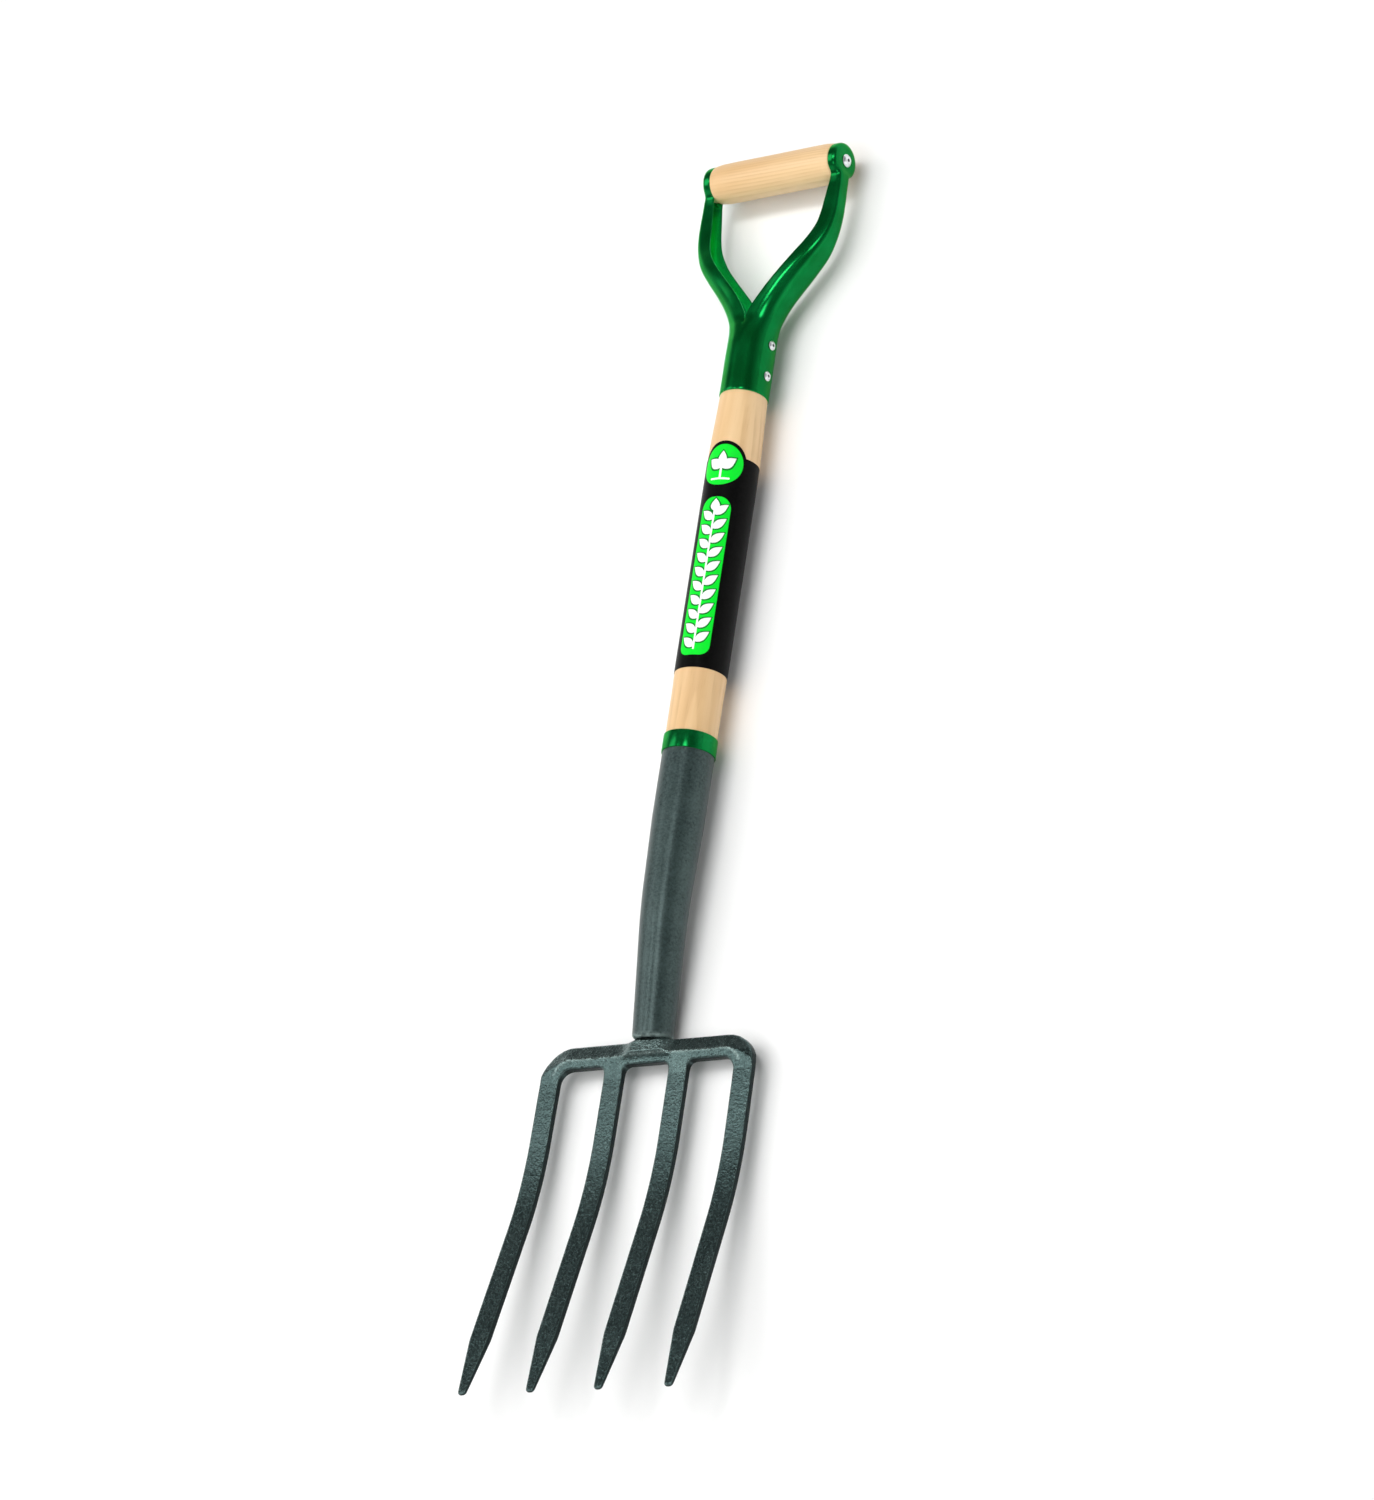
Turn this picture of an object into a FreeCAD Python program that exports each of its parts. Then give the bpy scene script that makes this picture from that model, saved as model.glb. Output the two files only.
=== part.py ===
import FreeCAD, Part
import math
import os

import Sketcher

# Digging fork with a wooden D-handle, lying on its back.
# X runs across the four tines, Y along the handle towards the grip, Z out of the front of the fork.
# While it is drawn, Y = 0 is the level of the tine tips and X = Z = 0 is the axis of the handle.
# The placement of each piece then moves the origin to the bottom centre of the whole fork.

SIZES = {
    # wooden shaft
    "shaft_radius": 20.0,
    "shaft_neck_radius": 18.4,
    "shaft_low_radius": 19.5,
    "shaft_seat_radius": 18.1,
    "shaft_end_radius": 16.0,
    "shaft_top": 849.0,
    "swell_top": 750.5,
    "swell_low": 561.0,
    "shaft_shoulder": 505.0,
    "shaft_end": 386.0,
    "tang_bore_radius": 8.6,
    "tang_bore_tip_radius": 4.8,
    "tang_bore_end": 436.0,
    # printed film round the shaft
    "label_low": 563.6,
    "label_top": 737.6,
    "label_film": 0.25,
    "label_turn": 12.4,
    "badge_top": 750.3,
    "badge_reach": 16.1,
    # collar and steel ferrule
    "collar_radius": 20.6,
    "collar_low": 499.5,
    "collar_top": 513.5,
    "ferrule_radius": 19.75,
    "ferrule_wall": 1.6,
    "ferrule_taper": 448.0,
    "ferrule_end": 278.6,
    "ferrule_end_radius": 15.4,
    "crank_level": 378.0,
    "crank_radius": 400.0,
    "crank_angle": 5.7,
    "pin_level": 470.0,
    "pin_radius": 2.0,
    "pin_length": 14.0,
    "pin_head_radius": 3.2,
    "pin_head_rim": 2.5,
    "pin_head_height": 0.8,
    # forged head
    "bar_low": 258.9,
    "bar_ridge": 266.0,
    "bar_top": 277.0,
    "bar_front": 4.8,
    "bar_back": 4.4,
    "bar_corner": 27.0,
    "head_drop": 8.9,
    "outer_tine_root": 88.4,
    "outer_tine_tip": 92.9,
    "inner_tine_root": 29.5,
    "inner_tine_tip": 30.6,
    "tine_width": 17.2,
    "tine_thickness": 5.2,
    "tip_width": 6.8,
    "tip_thickness": 2.4,
    "tip_taper": 44.0,
    "tip_corner": 3.1,
    "taper_corner": 40.0,
    "outer_gap_corner": 10.0,
    "inner_gap_corner": 4.5,
    "tine_bend_radius": 322.0,
    "tine_bend_level": 168.0,
    "tine_bend_angle": 12.9,
    "neck_radius": 9.4,
    "neck_root_radius": 7.0,
    "tang_seat": 310.0,
    "tang_seat_radius": 11.0,
    "tang_top": 430.0,
    "tang_top_radius": 4.0,
    # pressed steel yoke
    "yoke_radius": 19.1,
    "yoke_wall": 1.5,
    "yoke_edge": 795.0,
    "yoke_split": 838.0,
    "eye_radius": 14.7,
    "eye_face": 64.2,
    "eye_rim": 57.0,
    "rivet_low": 811.0,
    "rivet_spacing": 26.0,
    "rivet_radius": 2.4,
    "rivet_head_radius": 3.9,
    "rivet_head_height": 1.8,
    "rivet_dome": 4.6,
    "rivet_dimple": 1.1,
    "dimple_rim": 0.2,
    "dimple_floor": 0.7,
    # cross grip
    "grip_level": 988.2,
    "grip_radius": 15.8,
    "grip_end_radius": 12.9,
    "grip_half": 62.5,
    "grip_shoulder": 56.5,
    "grip_barrel": 49.5,
    "grip_end_curve": 14.0,
    "grip_bore_radius": 3.3,
    "grip_rivet_radius": 3.2,
    "grip_rivet_head_radius": 5.3,
    "grip_rivet_head_height": 2.4,
    "grip_rivet_dome": 7.6,
    "grip_rivet_dimple": 1.6,
}

document = FreeCAD.newDocument("DiggingFork")
sheet = document.addObject("Spreadsheet::Sheet", "Dimensions")
for row, (alias, value) in enumerate(SIZES.items(), start=1):
    sheet.set(f"A{row}", alias)
    sheet.set(f"B{row}", str(value))
    sheet.setAlias(f"B{row}", alias)
document.recompute()


def size(alias):
    """Value of one cell of the sheet, in millimetres or degrees."""
    return float(sheet.get(alias))


def amount(words):
    """Value of a sum such as "eye_face - yoke_wall"; its words are cells, plain numbers, + and -."""
    total, sign = 0.0, 1.0
    for word in words.split():
        if word == "+":
            sign = 1.0
        elif word == "-":
            sign = -1.0
        else:
            total += sign * (size(word) if word in SIZES else float(word))
    return total


def expression(words):
    """The same sum, written as an expression on the sheet."""
    return " ".join(f"Dimensions.{word}" if word in SIZES else word for word in words.split())


HEAD_DROP = size("head_drop")
LOWEST = math.cos(math.radians(size("crank_angle"))) * size("ferrule_end_radius")
CRANK_DROP = (size("crank_level") - size("ferrule_end")) * math.tan(math.radians(size("crank_angle")))
TOP = size("grip_level") + size("grip_radius")
ORIGIN = FreeCAD.Vector(0, TOP / 2, -(LOWEST + CRANK_DROP))


def place(piece, start=(0, 0, 0), turn=0.0):
    """Moves a finished piece from its own drawing origin to its place, turned about X in degrees."""
    rotation = FreeCAD.Rotation(FreeCAD.Vector(1, 0, 0), turn)
    piece.Placement = FreeCAD.Placement(FreeCAD.Vector(*start) - ORIGIN, rotation)


def new_body(label):
    body = document.addObject("PartDesign::Body", label)
    body.Label = label
    return body


def new_sketch(body, name, role, offset=None):
    """A sketch on one of the body's own origin planes, moved by an offset in that plane's frame."""
    planes = [feature for feature in body.Origin.OriginFeatures if feature.Role == role]
    sketch = body.newObject("Sketcher::SketchObject", name)
    sketch.AttachmentSupport = [(planes[0], "")]
    sketch.MapMode = "FlatFace"
    if offset is not None:
        sketch.AttachmentOffset = offset
    return sketch


def bind(sketch, constraint, words):
    """Adds a sized constraint and ties it to the sheet."""
    index = sketch.addConstraint(constraint)
    sketch.setExpression(f"Constraints[{index}]", expression(words))


def draw_profile(sketch, corners):
    """Closed profile through corners (x words, y words, bulge words or None).

    A bulge is the radius of an arc to the next corner; a leading "-" bows it to the other side.
    """
    count = len(corners)
    points = [FreeCAD.Vector(amount(corner[0]), amount(corner[1]), 0) for corner in corners]
    for index, (_, _, bulge) in enumerate(corners):
        start, end = points[index], points[(index + 1) % count]
        if bulge is None:
            sketch.addGeometry(Part.LineSegment(start, end), False)
            continue
        side = -1.0 if bulge.startswith("-") else 1.0
        radius = amount(bulge.lstrip("- "))
        chord = end - start
        across = FreeCAD.Vector(chord.y, -chord.x, 0).normalize()
        rise = radius - math.sqrt(radius ** 2 - (chord.Length / 2) ** 2)
        middle = start + chord * 0.5 + across * (side * rise)
        sketch.addGeometry(Part.Arc(start, middle, end), False)
    # an arc keeps its ends in counter-clockwise order, so the end nearest each corner is looked up
    for index in range(count):
        def near(geometry, point):
            first = sketch.Geometry[geometry].StartPoint
            return 1 if (first - point).Length < 1e-6 else 2

        previous = (index - 1) % count
        here = near(index, points[index])
        sketch.addConstraint(
            Sketcher.Constraint("Coincident", previous, near(previous, points[index]), index, here))
        for axis, words in (("DistanceX", corners[index][0]), ("DistanceY", corners[index][1])):
            value = amount(words)
            if value == 0:
                line = -2 if axis == "DistanceX" else -1
                sketch.addConstraint(Sketcher.Constraint("PointOnObject", index, here, line))
            else:
                bind(sketch, Sketcher.Constraint(axis, -1, 1, index, here, value), words)
        bulge = corners[index][2]
        if bulge is not None:
            words = bulge.lstrip("- ")
            bind(sketch, Sketcher.Constraint("Radius", index, amount(words)), words)


def turned(label, corners, axis="V_Axis", start=(0, 0, 0), turn=0.0):
    """A turned piece: the profile is drawn in the XY plane and revolved about an axis of its sketch."""
    body = new_body(label)
    sketch = new_sketch(body, label + "_profile", "XY_Plane")
    draw_profile(sketch, corners)
    revolution = body.newObject("PartDesign::Revolution", label + "_turned")
    revolution.Profile = sketch
    revolution.ReferenceAxis = (sketch, [axis])
    revolution.Angle = 360.0
    document.recompute()
    place(body, start, turn)
    return body


def drill(body, name, role, height, centres, radius, through):
    """Round holes square to an origin plane, from a height above that plane: through both ways or down."""
    before = body.Shape.Volume
    sketch = new_sketch(body, name + "_circles", role,
                        FreeCAD.Placement(FreeCAD.Vector(0, 0, height), FreeCAD.Rotation()))
    for number, (x, y) in enumerate(centres):
        centre = FreeCAD.Vector(amount(x), amount(y), 0)
        sketch.addGeometry(Part.Circle(centre, FreeCAD.Vector(0, 0, 1), size(radius)), False)
        bind(sketch, Sketcher.Constraint("Radius", number, size(radius)), radius)
        for axis, words in (("DistanceX", x), ("DistanceY", y)):
            if amount(words) == 0:
                line = -2 if axis == "DistanceX" else -1
                sketch.addConstraint(Sketcher.Constraint("PointOnObject", number, 3, line))
            else:
                bind(sketch, Sketcher.Constraint(axis, -1, 1, number, 3, amount(words)), words)
    pocket = body.newObject("PartDesign::Pocket", name)
    pocket.Profile = sketch
    pocket.Type = "ThroughAll"
    if through:
        pocket.SideType = "Symmetric"
    document.recompute()
    assert body.Shape.Volume < before - 1.0


def circle_section(body, name, level, drop, tilt, radius, words=None):
    """A round section square to the cranked axis, at a level along Y and a drop below the handle axis."""
    turn = FreeCAD.Rotation(FreeCAD.Vector(1, 0, 0), tilt)
    offset = FreeCAD.Placement(FreeCAD.Vector(0, -drop, -level), turn)
    sketch = new_sketch(body, name, "XZ_Plane", offset)
    sketch.addGeometry(Part.Circle(FreeCAD.Vector(0, 0, 0), FreeCAD.Vector(0, 0, 1), radius), False)
    sketch.addConstraint(Sketcher.Constraint("Coincident", 0, 3, -1, 1))
    index = sketch.addConstraint(Sketcher.Constraint("Radius", 0, radius))
    if words:
        sketch.setExpression(f"Constraints[{index}]", expression(words))
    return sketch


def crank_point(level):
    """Drop of the cranked axis below the handle axis and its slope in degrees, at a level along Y."""
    angle = math.radians(size("crank_angle"))
    radius = size("crank_radius")
    start = size("crank_level") + radius * math.tan(angle / 2)
    end = start - radius * math.sin(angle)
    if level >= start:
        return 0.0, 0.0
    if level > end:
        slope = math.asin((start - level) / radius)
        return radius * (1 - math.cos(slope)), math.degrees(slope)
    return radius * (1 - math.cos(angle)) + (end - level) * math.tan(angle), math.degrees(angle)


def loft(body, name, kind, sections):
    feature = body.newObject("PartDesign::" + kind, name)
    feature.Profile = sections[0]
    feature.Sections = sections[1:]
    feature.Ruled = False
    document.recompute()
    return feature


def drill_pin_hole(body):
    """Hole for the pin, from the pin's inner end out through the back."""
    drill(body, body.Label + "_pin_hole", "XY_Plane", size("pin_length") - size("ferrule_radius"),
          [("0", "pin_level")], "pin_radius", False)


def make_shaft():
    """Turned shaft: swollen middle, neck in the yoke, long seat in the ferrule, bored for the tang."""
    body = turned("shaft", [
        ("0", "shaft_top", None),
        ("yoke_radius - yoke_wall - 4", "shaft_top", "4"),
        ("yoke_radius - yoke_wall", "shaft_top - 4", None),
        ("yoke_radius - yoke_wall", "yoke_edge - 0.3", None),
        ("shaft_neck_radius", "yoke_edge - 0.3", "900"),
        ("shaft_radius", "swell_top", None),
        ("shaft_radius", "swell_low", None),
        ("shaft_low_radius", "swell_low - 16", None),
        ("shaft_low_radius", "shaft_shoulder", None),
        ("shaft_seat_radius", "shaft_shoulder", None),
        ("shaft_seat_radius", "ferrule_taper + 4", None),
        ("shaft_end_radius", "shaft_end", None),
        ("tang_bore_radius", "shaft_end", None),
        ("tang_bore_tip_radius", "tang_bore_end", None),
        ("0", "tang_bore_end", None),
    ])
    rivets = [("rivet_low", "0"), ("rivet_low + rivet_spacing", "0")]
    drill(body, "rivet_holes", "YZ_Plane", 0.0, rivets, "rivet_radius", True)
    drill_pin_hole(body)
    return body


def make_label():
    """Printed film wrapped round the shaft; a round tab of its front rises above the straight top edge."""
    body = turned("label", [
        ("shaft_radius", "label_low", None),
        ("shaft_radius", "badge_top + 1", None),
        ("shaft_radius + label_film", "badge_top + 1", None),
        ("shaft_radius + label_film", "label_low", None),
    ])
    level, reach, crown = size("label_top"), size("badge_reach"), size("badge_top")
    side, clear = amount("shaft_radius + 5"), amount("badge_top + 5")
    left, right = FreeCAD.Vector(-side, level, 0), FreeCAD.Vector(side, level, 0)
    above = [right, FreeCAD.Vector(side, clear, 0), FreeCAD.Vector(-side, clear, 0), left]
    tab = [FreeCAD.Vector(-reach, level, 0), FreeCAD.Vector(0, crown, 0), FreeCAD.Vector(reach, level, 0)]
    over = [Part.LineSegment(start, end) for start, end in zip(above, above[1:])]
    straight = over + [Part.LineSegment(left, right)]
    round_tab = over + [Part.LineSegment(left, tab[0]), Part.Arc(*tab), Part.LineSegment(tab[2], right)]
    for name, outline, forward in (("back_edge", straight, False), ("front_edge", round_tab, True)):
        before = body.Shape.Volume
        sketch = new_sketch(body, f"label_{name}_outline", "XY_Plane")
        sketch.addGeometry(outline, False)
        pocket = body.newObject("PartDesign::Pocket", f"label_{name}")
        pocket.Profile = sketch
        pocket.Type = "ThroughAll"
        pocket.Reversed = forward
        document.recompute()
        assert body.Shape.Volume < before - 1.0
    turn = FreeCAD.Rotation(FreeCAD.Vector(0, 1, 0), size("label_turn"))
    body.Placement = FreeCAD.Placement(-ORIGIN, turn)
    return body


def make_collar():
    """Ring that covers the step between the shaft and the top edge of the ferrule."""
    return turned("collar", [
        ("ferrule_radius", "collar_low", None),
        ("ferrule_radius", "collar_top", None),
        ("collar_radius - 0.5", "collar_top", "0.6"),
        ("collar_radius", "collar_top - 0.6", None),
        ("collar_radius", "collar_low + 0.4", "0.5"),
        ("collar_radius - 0.4", "collar_low", None),
    ])


def make_ferrule():
    """Long steel ferrule: a tube, straight round the shaft, then cranked back and tapered to the head."""
    body = new_body("ferrule")
    low, taper, top = size("ferrule_end"), size("ferrule_taper"), size("shaft_shoulder")
    wall = size("ferrule_wall")
    bend = size("crank_level")
    levels = [top, (top + taper) / 2, taper, taper - 28.0, bend + 21.0, bend, bend - 21.0,
              bend - 48.0, bend - 73.0, low]
    slope = (size("ferrule_radius") - size("ferrule_end_radius")) / (taper - low)
    rings = {"Additive": [], "Subtractive": []}
    for number, level in enumerate(levels):
        drop, tilt = crank_point(level)
        outside = size("ferrule_radius") - slope * max(0.0, taper - level)
        words = "ferrule_radius" if level >= taper else None
        rings["Additive"].append(
            circle_section(body, f"ferrule_ring_{number}", level, drop, tilt, outside, words))
    loft(body, "ferrule_outside", "AdditiveLoft", rings["Additive"])
    for number, level in enumerate(levels):
        drop, tilt = crank_point(level)
        inside = size("ferrule_radius") - slope * max(0.0, taper - level) - wall
        words = "ferrule_radius - ferrule_wall" if level >= taper else None
        rings["Subtractive"].append(
            circle_section(body, f"ferrule_bore_{number}", level, drop, tilt, inside, words))
    full = body.Shape.Volume
    loft(body, "ferrule_inside", "SubtractiveLoft", rings["Subtractive"])
    assert body.Shape.Volume < full * 0.5
    drill_pin_hole(body)
    place(body)
    return body


def rounded_outline(corners):
    """Closed outline of lines and tangent arcs through corners (x, y, corner radius)."""
    count = len(corners)
    cuts = []
    for index, (x, y, radius) in enumerate(corners):
        corner = FreeCAD.Vector(x, y, 0)
        before = (FreeCAD.Vector(*corners[index - 1][:2], 0) - corner).normalize()
        after = (FreeCAD.Vector(*corners[(index + 1) % count][:2], 0) - corner).normalize()
        half = before.getAngle(after) / 2
        reach = radius / math.tan(half)
        bisector = (before + after).normalize()
        middle = corner + bisector * (radius / math.sin(half) - radius)
        cuts.append((corner + before * reach, middle, corner + after * reach))
    pieces = []
    for index, (start, middle, end) in enumerate(cuts):
        pieces.append(Part.Arc(start, middle, end))
        pieces.append(Part.LineSegment(end, cuts[(index + 1) % count][0]))
    return pieces


def head_outline():
    """Front view of the head: crossbar with rounded shoulders and four tapered tines."""
    half_width, half_tip = size("tine_width") / 2, size("tip_width") / 2
    edge = size("outer_tine_root") + half_width
    corners = [(side * edge, size("bar_top"), size("bar_corner")) for side in (-1, 1)]
    share = size("tip_taper") / size("bar_low")
    tines = [("outer", 1), ("inner", 1), ("inner", -1), ("outer", -1)]
    for number, (kind, side) in enumerate(tines):
        root = side * size(f"{kind}_tine_root")
        tip = side * size(f"{kind}_tine_tip")
        shoulder = tip + (root - tip) * share
        fillet = size(f"{kind}_gap_corner")
        if number > 0:
            corners.append((root + half_width, size("bar_low"), fillet))
        corners.append((shoulder + half_width, size("tip_taper"), size("taper_corner")))
        corners.append((tip + half_tip, 0.0, size("tip_corner")))
        corners.append((tip - half_tip, 0.0, size("tip_corner")))
        corners.append((shoulder - half_width, size("tip_taper"), size("taper_corner")))
        if number < 3:
            corners.append((root - half_width, size("bar_low"), fillet))
    return rounded_outline(corners)


def head_side():
    """Side view of the head: faceted crossbar, straight tine, forward bend, thinned tip."""
    radius, angle = size("tine_bend_radius"), math.radians(size("tine_bend_angle"))
    half = size("tine_thickness") / 2
    half_tip = size("tip_thickness") / 2
    bend_start = size("tine_bend_level") + radius * math.tan(angle / 2)
    centre = FreeCAD.Vector(bend_start, -HEAD_DROP + radius, 0)
    along = FreeCAD.Vector(-math.cos(angle), math.sin(angle), 0)
    front = FreeCAD.Vector(math.sin(angle), math.cos(angle), 0)
    bend_end = centre - front * radius
    tip = bend_end + along * (bend_end.x / math.cos(angle))
    thinning = tip - along * size("tip_taper")
    bar = [
        (size("bar_low"), -HEAD_DROP + half),
        (size("bar_low"), -HEAD_DROP + half + 1.0),
        (size("bar_ridge"), -HEAD_DROP + size("bar_front")),
        (size("bar_top"), -HEAD_DROP + 1.6),
        (size("bar_top"), -HEAD_DROP - size("bar_back") + 1.5),
        (size("bar_top") - 2.0, -HEAD_DROP - size("bar_back")),
        (size("bar_low") + 2.0, -HEAD_DROP - size("bar_back")),
        (size("bar_low"), -HEAD_DROP - half - 0.6),
        (size("bar_low"), -HEAD_DROP - half),
    ]
    bar = [FreeCAD.Vector(y, z, 0) for y, z in bar]

    def bend(distance):
        middle = FreeCAD.Vector(math.sin(angle / 2), math.cos(angle / 2), 0)
        return [FreeCAD.Vector(bend_start, centre.y - distance, 0), centre - middle * distance,
                centre - front * distance]

    back_bend, front_bend = bend(radius + half), bend(radius - half)
    pieces = [Part.LineSegment(start, end) for start, end in zip(bar, bar[1:])]
    pieces.append(Part.LineSegment(bar[-1], back_bend[0]))
    pieces.append(Part.Arc(*back_bend))
    lower = [back_bend[2], thinning - front * half, tip - front * half_tip,
             tip + front * half_tip, thinning + front * half, front_bend[2]]
    pieces += [Part.LineSegment(start, end) for start, end in zip(lower, lower[1:])]
    pieces.append(Part.Arc(front_bend[2], front_bend[1], front_bend[0]))
    pieces.append(Part.LineSegment(front_bend[0], bar[0]))
    return pieces


def make_fork_head():
    """One forging: side view made full width, then trimmed to the front view, then neck and tang."""
    body = new_body("fork_head")
    side = new_sketch(body, "head_side_view", "YZ_Plane")
    side.addGeometry(head_side(), False)
    blank = body.newObject("PartDesign::Pad", "head_blank")
    blank.Profile = side
    blank.Type = "Length"
    blank.setExpression("Length", "2 * Dimensions.outer_tine_tip + 2 * Dimensions.tine_width")
    blank.SideType = "Symmetric"
    document.recompute()
    full = body.Shape.Volume
    front = new_sketch(body, "head_front_view", "XY_Plane")
    front.addGeometry(head_outline(), False)
    side, below, above = size("outer_tine_tip") * 2, -60.0, size("bar_top") + 60.0
    frame = [FreeCAD.Vector(x, y, 0) for x, y in ((-side, below), (side, below), (side, above), (-side, above))]
    for start, end in zip(frame, frame[1:] + frame[:1]):
        front.addGeometry(Part.LineSegment(start, end), False)
    trim = body.newObject("PartDesign::Pocket", "head_trim")
    trim.Profile = front
    trim.Type = "ThroughAll"
    trim.SideType = "Symmetric"
    document.recompute()
    assert body.Shape.Volume < full * 0.6
    bend = size("crank_level")
    tang = [
        (size("bar_top") - 6.0, size("neck_root_radius")),
        (size("bar_top"), size("neck_radius")),
        (size("ferrule_end") + 5.0, size("neck_radius") + 1.0),
        (size("tang_seat"), size("tang_seat_radius")),
        (bend - 21.0, size("tang_bore_radius")),
        (bend + 21.0, (size("tang_bore_radius") + size("tang_top_radius")) / 2),
        (size("tang_top"), size("tang_top_radius")),
    ]
    rings = []
    for number, (level, radius) in enumerate(tang):
        drop, tilt = crank_point(level)
        rings.append(circle_section(body, f"tang_ring_{number}", level, drop, tilt, radius))
    loft(body, "neck_and_tang", "AdditiveLoft", rings)
    place(body)
    return body


def channel_section(outer, inner, half_depth, power, wall):
    """Wire of a channel between its outer web point and its open inner edge, both in the XY plane.

    A wall of 0 gives the outside; a wall above 0 gives the hollow, run past the open edge.
    A power of 1 bends the web as an ellipse, and a lower one squares its corners.
    """
    outer, inner = FreeCAD.Vector(*outer, 0), FreeCAD.Vector(*inner, 0)
    along = (outer - inner).normalize()
    width = (outer - inner).Length
    up = FreeCAD.Vector(0, 0, 1)
    web = min(width - 0.3, half_depth * 1.05) - wall
    depth = half_depth - wall
    start = inner + along * (width - wall - web)
    open_edge = inner - along * (4.0 if wall else 0.0)
    curve = [start + up * depth]
    steps = 12
    for step in range(1, steps):
        turn = math.pi / 2 - math.pi * step / steps
        out = web * math.cos(turn) ** power
        rise = depth * math.copysign(abs(math.sin(turn)) ** power, math.sin(turn))
        curve.append(start + along * out + up * rise)
    curve.append(start - up * depth)
    spline = Part.BSplineCurve()
    spline.interpolate(curve)
    return Part.Wire([
        Part.LineSegment(open_edge + up * depth, curve[0]).toShape(),
        spline.toShape(),
        Part.LineSegment(curve[-1], open_edge - up * depth).toShape(),
        Part.LineSegment(open_edge - up * depth, open_edge + up * depth).toShape(),
    ])


def make_yoke():
    """Pressed steel yoke: a sleeve on the shaft that splits into two channel arms with cupped eyes."""
    radius, wall = size("yoke_radius"), size("yoke_wall")
    edge, split = size("yoke_edge"), size("yoke_split")
    level, eye = size("grip_level"), size("eye_radius")
    rim, face = size("eye_rim"), size("eye_face")
    # one arm from the sleeve to the eye: outer web point, open inner edge, half depth, squareness
    stations = [
        ((radius, split), (-0.3, split), radius, 1.0),
        ((19.9, 850.0), (-0.8, 851.0), 16.6, 0.98),
        ((22.3, 859.5), (1.8, 862.3), 14.8, 0.94),
        ((28.7, 871.9), (12.6, 879.5), 14.6, 0.88),
        ((36.9, 883.8), (24.6, 893.5), 14.8, 0.82),
        ((47.8, 897.7), (37.1, 908.0), 13.8, 0.76),
        ((56.7, 910.2), (44.9, 918.5), 11.9, 0.70),
        ((62.9, 924.7), (50.5, 931.0), 9.0, 0.66),
        ((65.9, 940.2), (52.8, 943.0), 7.4, 0.64),
        ((66.3, 953.0), (54.1, 954.0), 6.9, 0.64),
        ((65.9, 964.0), (55.4, 964.5), 6.8, 0.64),
        ((64.4, 979.0), (57.2, 979.0), 8.6, 0.64),
    ]

    def drawn(thickness, overrun):
        """The arm's loft and the half sleeve below it, as one solid."""
        wires = [channel_section(*station, thickness) for station in stations]
        half_sleeve = Part.Face(wires[0]).extrude(FreeCAD.Vector(0, edge - split - overrun, 0))
        return Part.makeLoft(wires, True).fuse(half_sleeve)

    across = FreeCAD.Vector(1, 0, 0)
    half = drawn(0.0, 0.0).cut(drawn(wall, 5.0))
    half = half.common(Part.makeBox(120, 300, 80, FreeCAD.Vector(0, edge - 40, -40)))
    cup = Part.makeCylinder(eye, face - rim, FreeCAD.Vector(rim, level, 0), across)
    face_edges = [e for e in cup.Edges if e.BoundBox.XMin > face - 0.01]
    cup = cup.makeFillet(2.2, face_edges)
    room = Part.makeCylinder(eye - wall, face - rim, FreeCAD.Vector(rim - wall, level, 0), across)
    rod_hole = Part.makeCylinder(size("grip_bore_radius"), 20.0, FreeCAD.Vector(50, level, 0), across)
    half = half.fuse(cup).cut(room).cut(rod_hole)
    shape = half.fuse(half.mirror(FreeCAD.Vector(0, 0, 0), across))
    # the sheet was rolled into a sleeve, and its two edges leave a narrow seam down the back
    seam = Part.makeBox(0.5, split - edge + 16.0, 8.0, FreeCAD.Vector(-0.25, edge - 1, -radius - 2))
    shape = shape.cut(seam)
    for number in range(2):
        height = size("rivet_low") + number * size("rivet_spacing")
        start = FreeCAD.Vector(-30, height, 0)
        shape = shape.cut(Part.makeCylinder(size("rivet_radius"), 60.0, start, across))
    yoke = document.addObject("Part::Feature", "yoke")
    yoke.Label = "yoke"
    yoke.Shape = shape.removeSplitter()
    place(yoke)
    return yoke


def make_cross_grip():
    """Turned barrel grip whose stepped-down ends sit in the cups of the yoke; bored for its rivet."""
    return turned("cross_grip", [
        ("grip_half", "grip_bore_radius", None),
        ("grip_half", "grip_end_radius", None),
        ("grip_shoulder", "grip_end_radius", "grip_end_curve"),
        ("grip_barrel", "grip_radius", None),
        ("- grip_barrel", "grip_radius", "grip_end_curve"),
        ("- grip_shoulder", "grip_end_radius", None),
        ("- grip_half", "grip_end_radius", None),
        ("- grip_half", "grip_bore_radius", None),
    ], "H_Axis", (0, size("grip_level"), 0))


def make_rivet(label, half, prefix, level):
    """Through rivet along X with a dimpled, domed head at each end; half is where each head starts."""
    crown = f"{half} + {prefix}_head_height"
    side = [
        (f"{crown} - dimple_floor", "0", None),
        (f"{crown} - dimple_rim", f"{prefix}_dimple", f"{prefix}_dome"),
        (half, f"{prefix}_head_radius", None),
        (half, f"{prefix}_radius", None),
    ]
    crown = f"- {half} - {prefix}_head_height"
    other = [
        (f"- {half}", f"{prefix}_radius", None),
        (f"- {half}", f"{prefix}_head_radius", f"{prefix}_dome"),
        (f"{crown} + dimple_rim", f"{prefix}_dimple", None),
        (f"{crown} + dimple_floor", "0", None),
    ]
    return turned(label, side + other, "H_Axis", (0, amount(level), 0))


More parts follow.
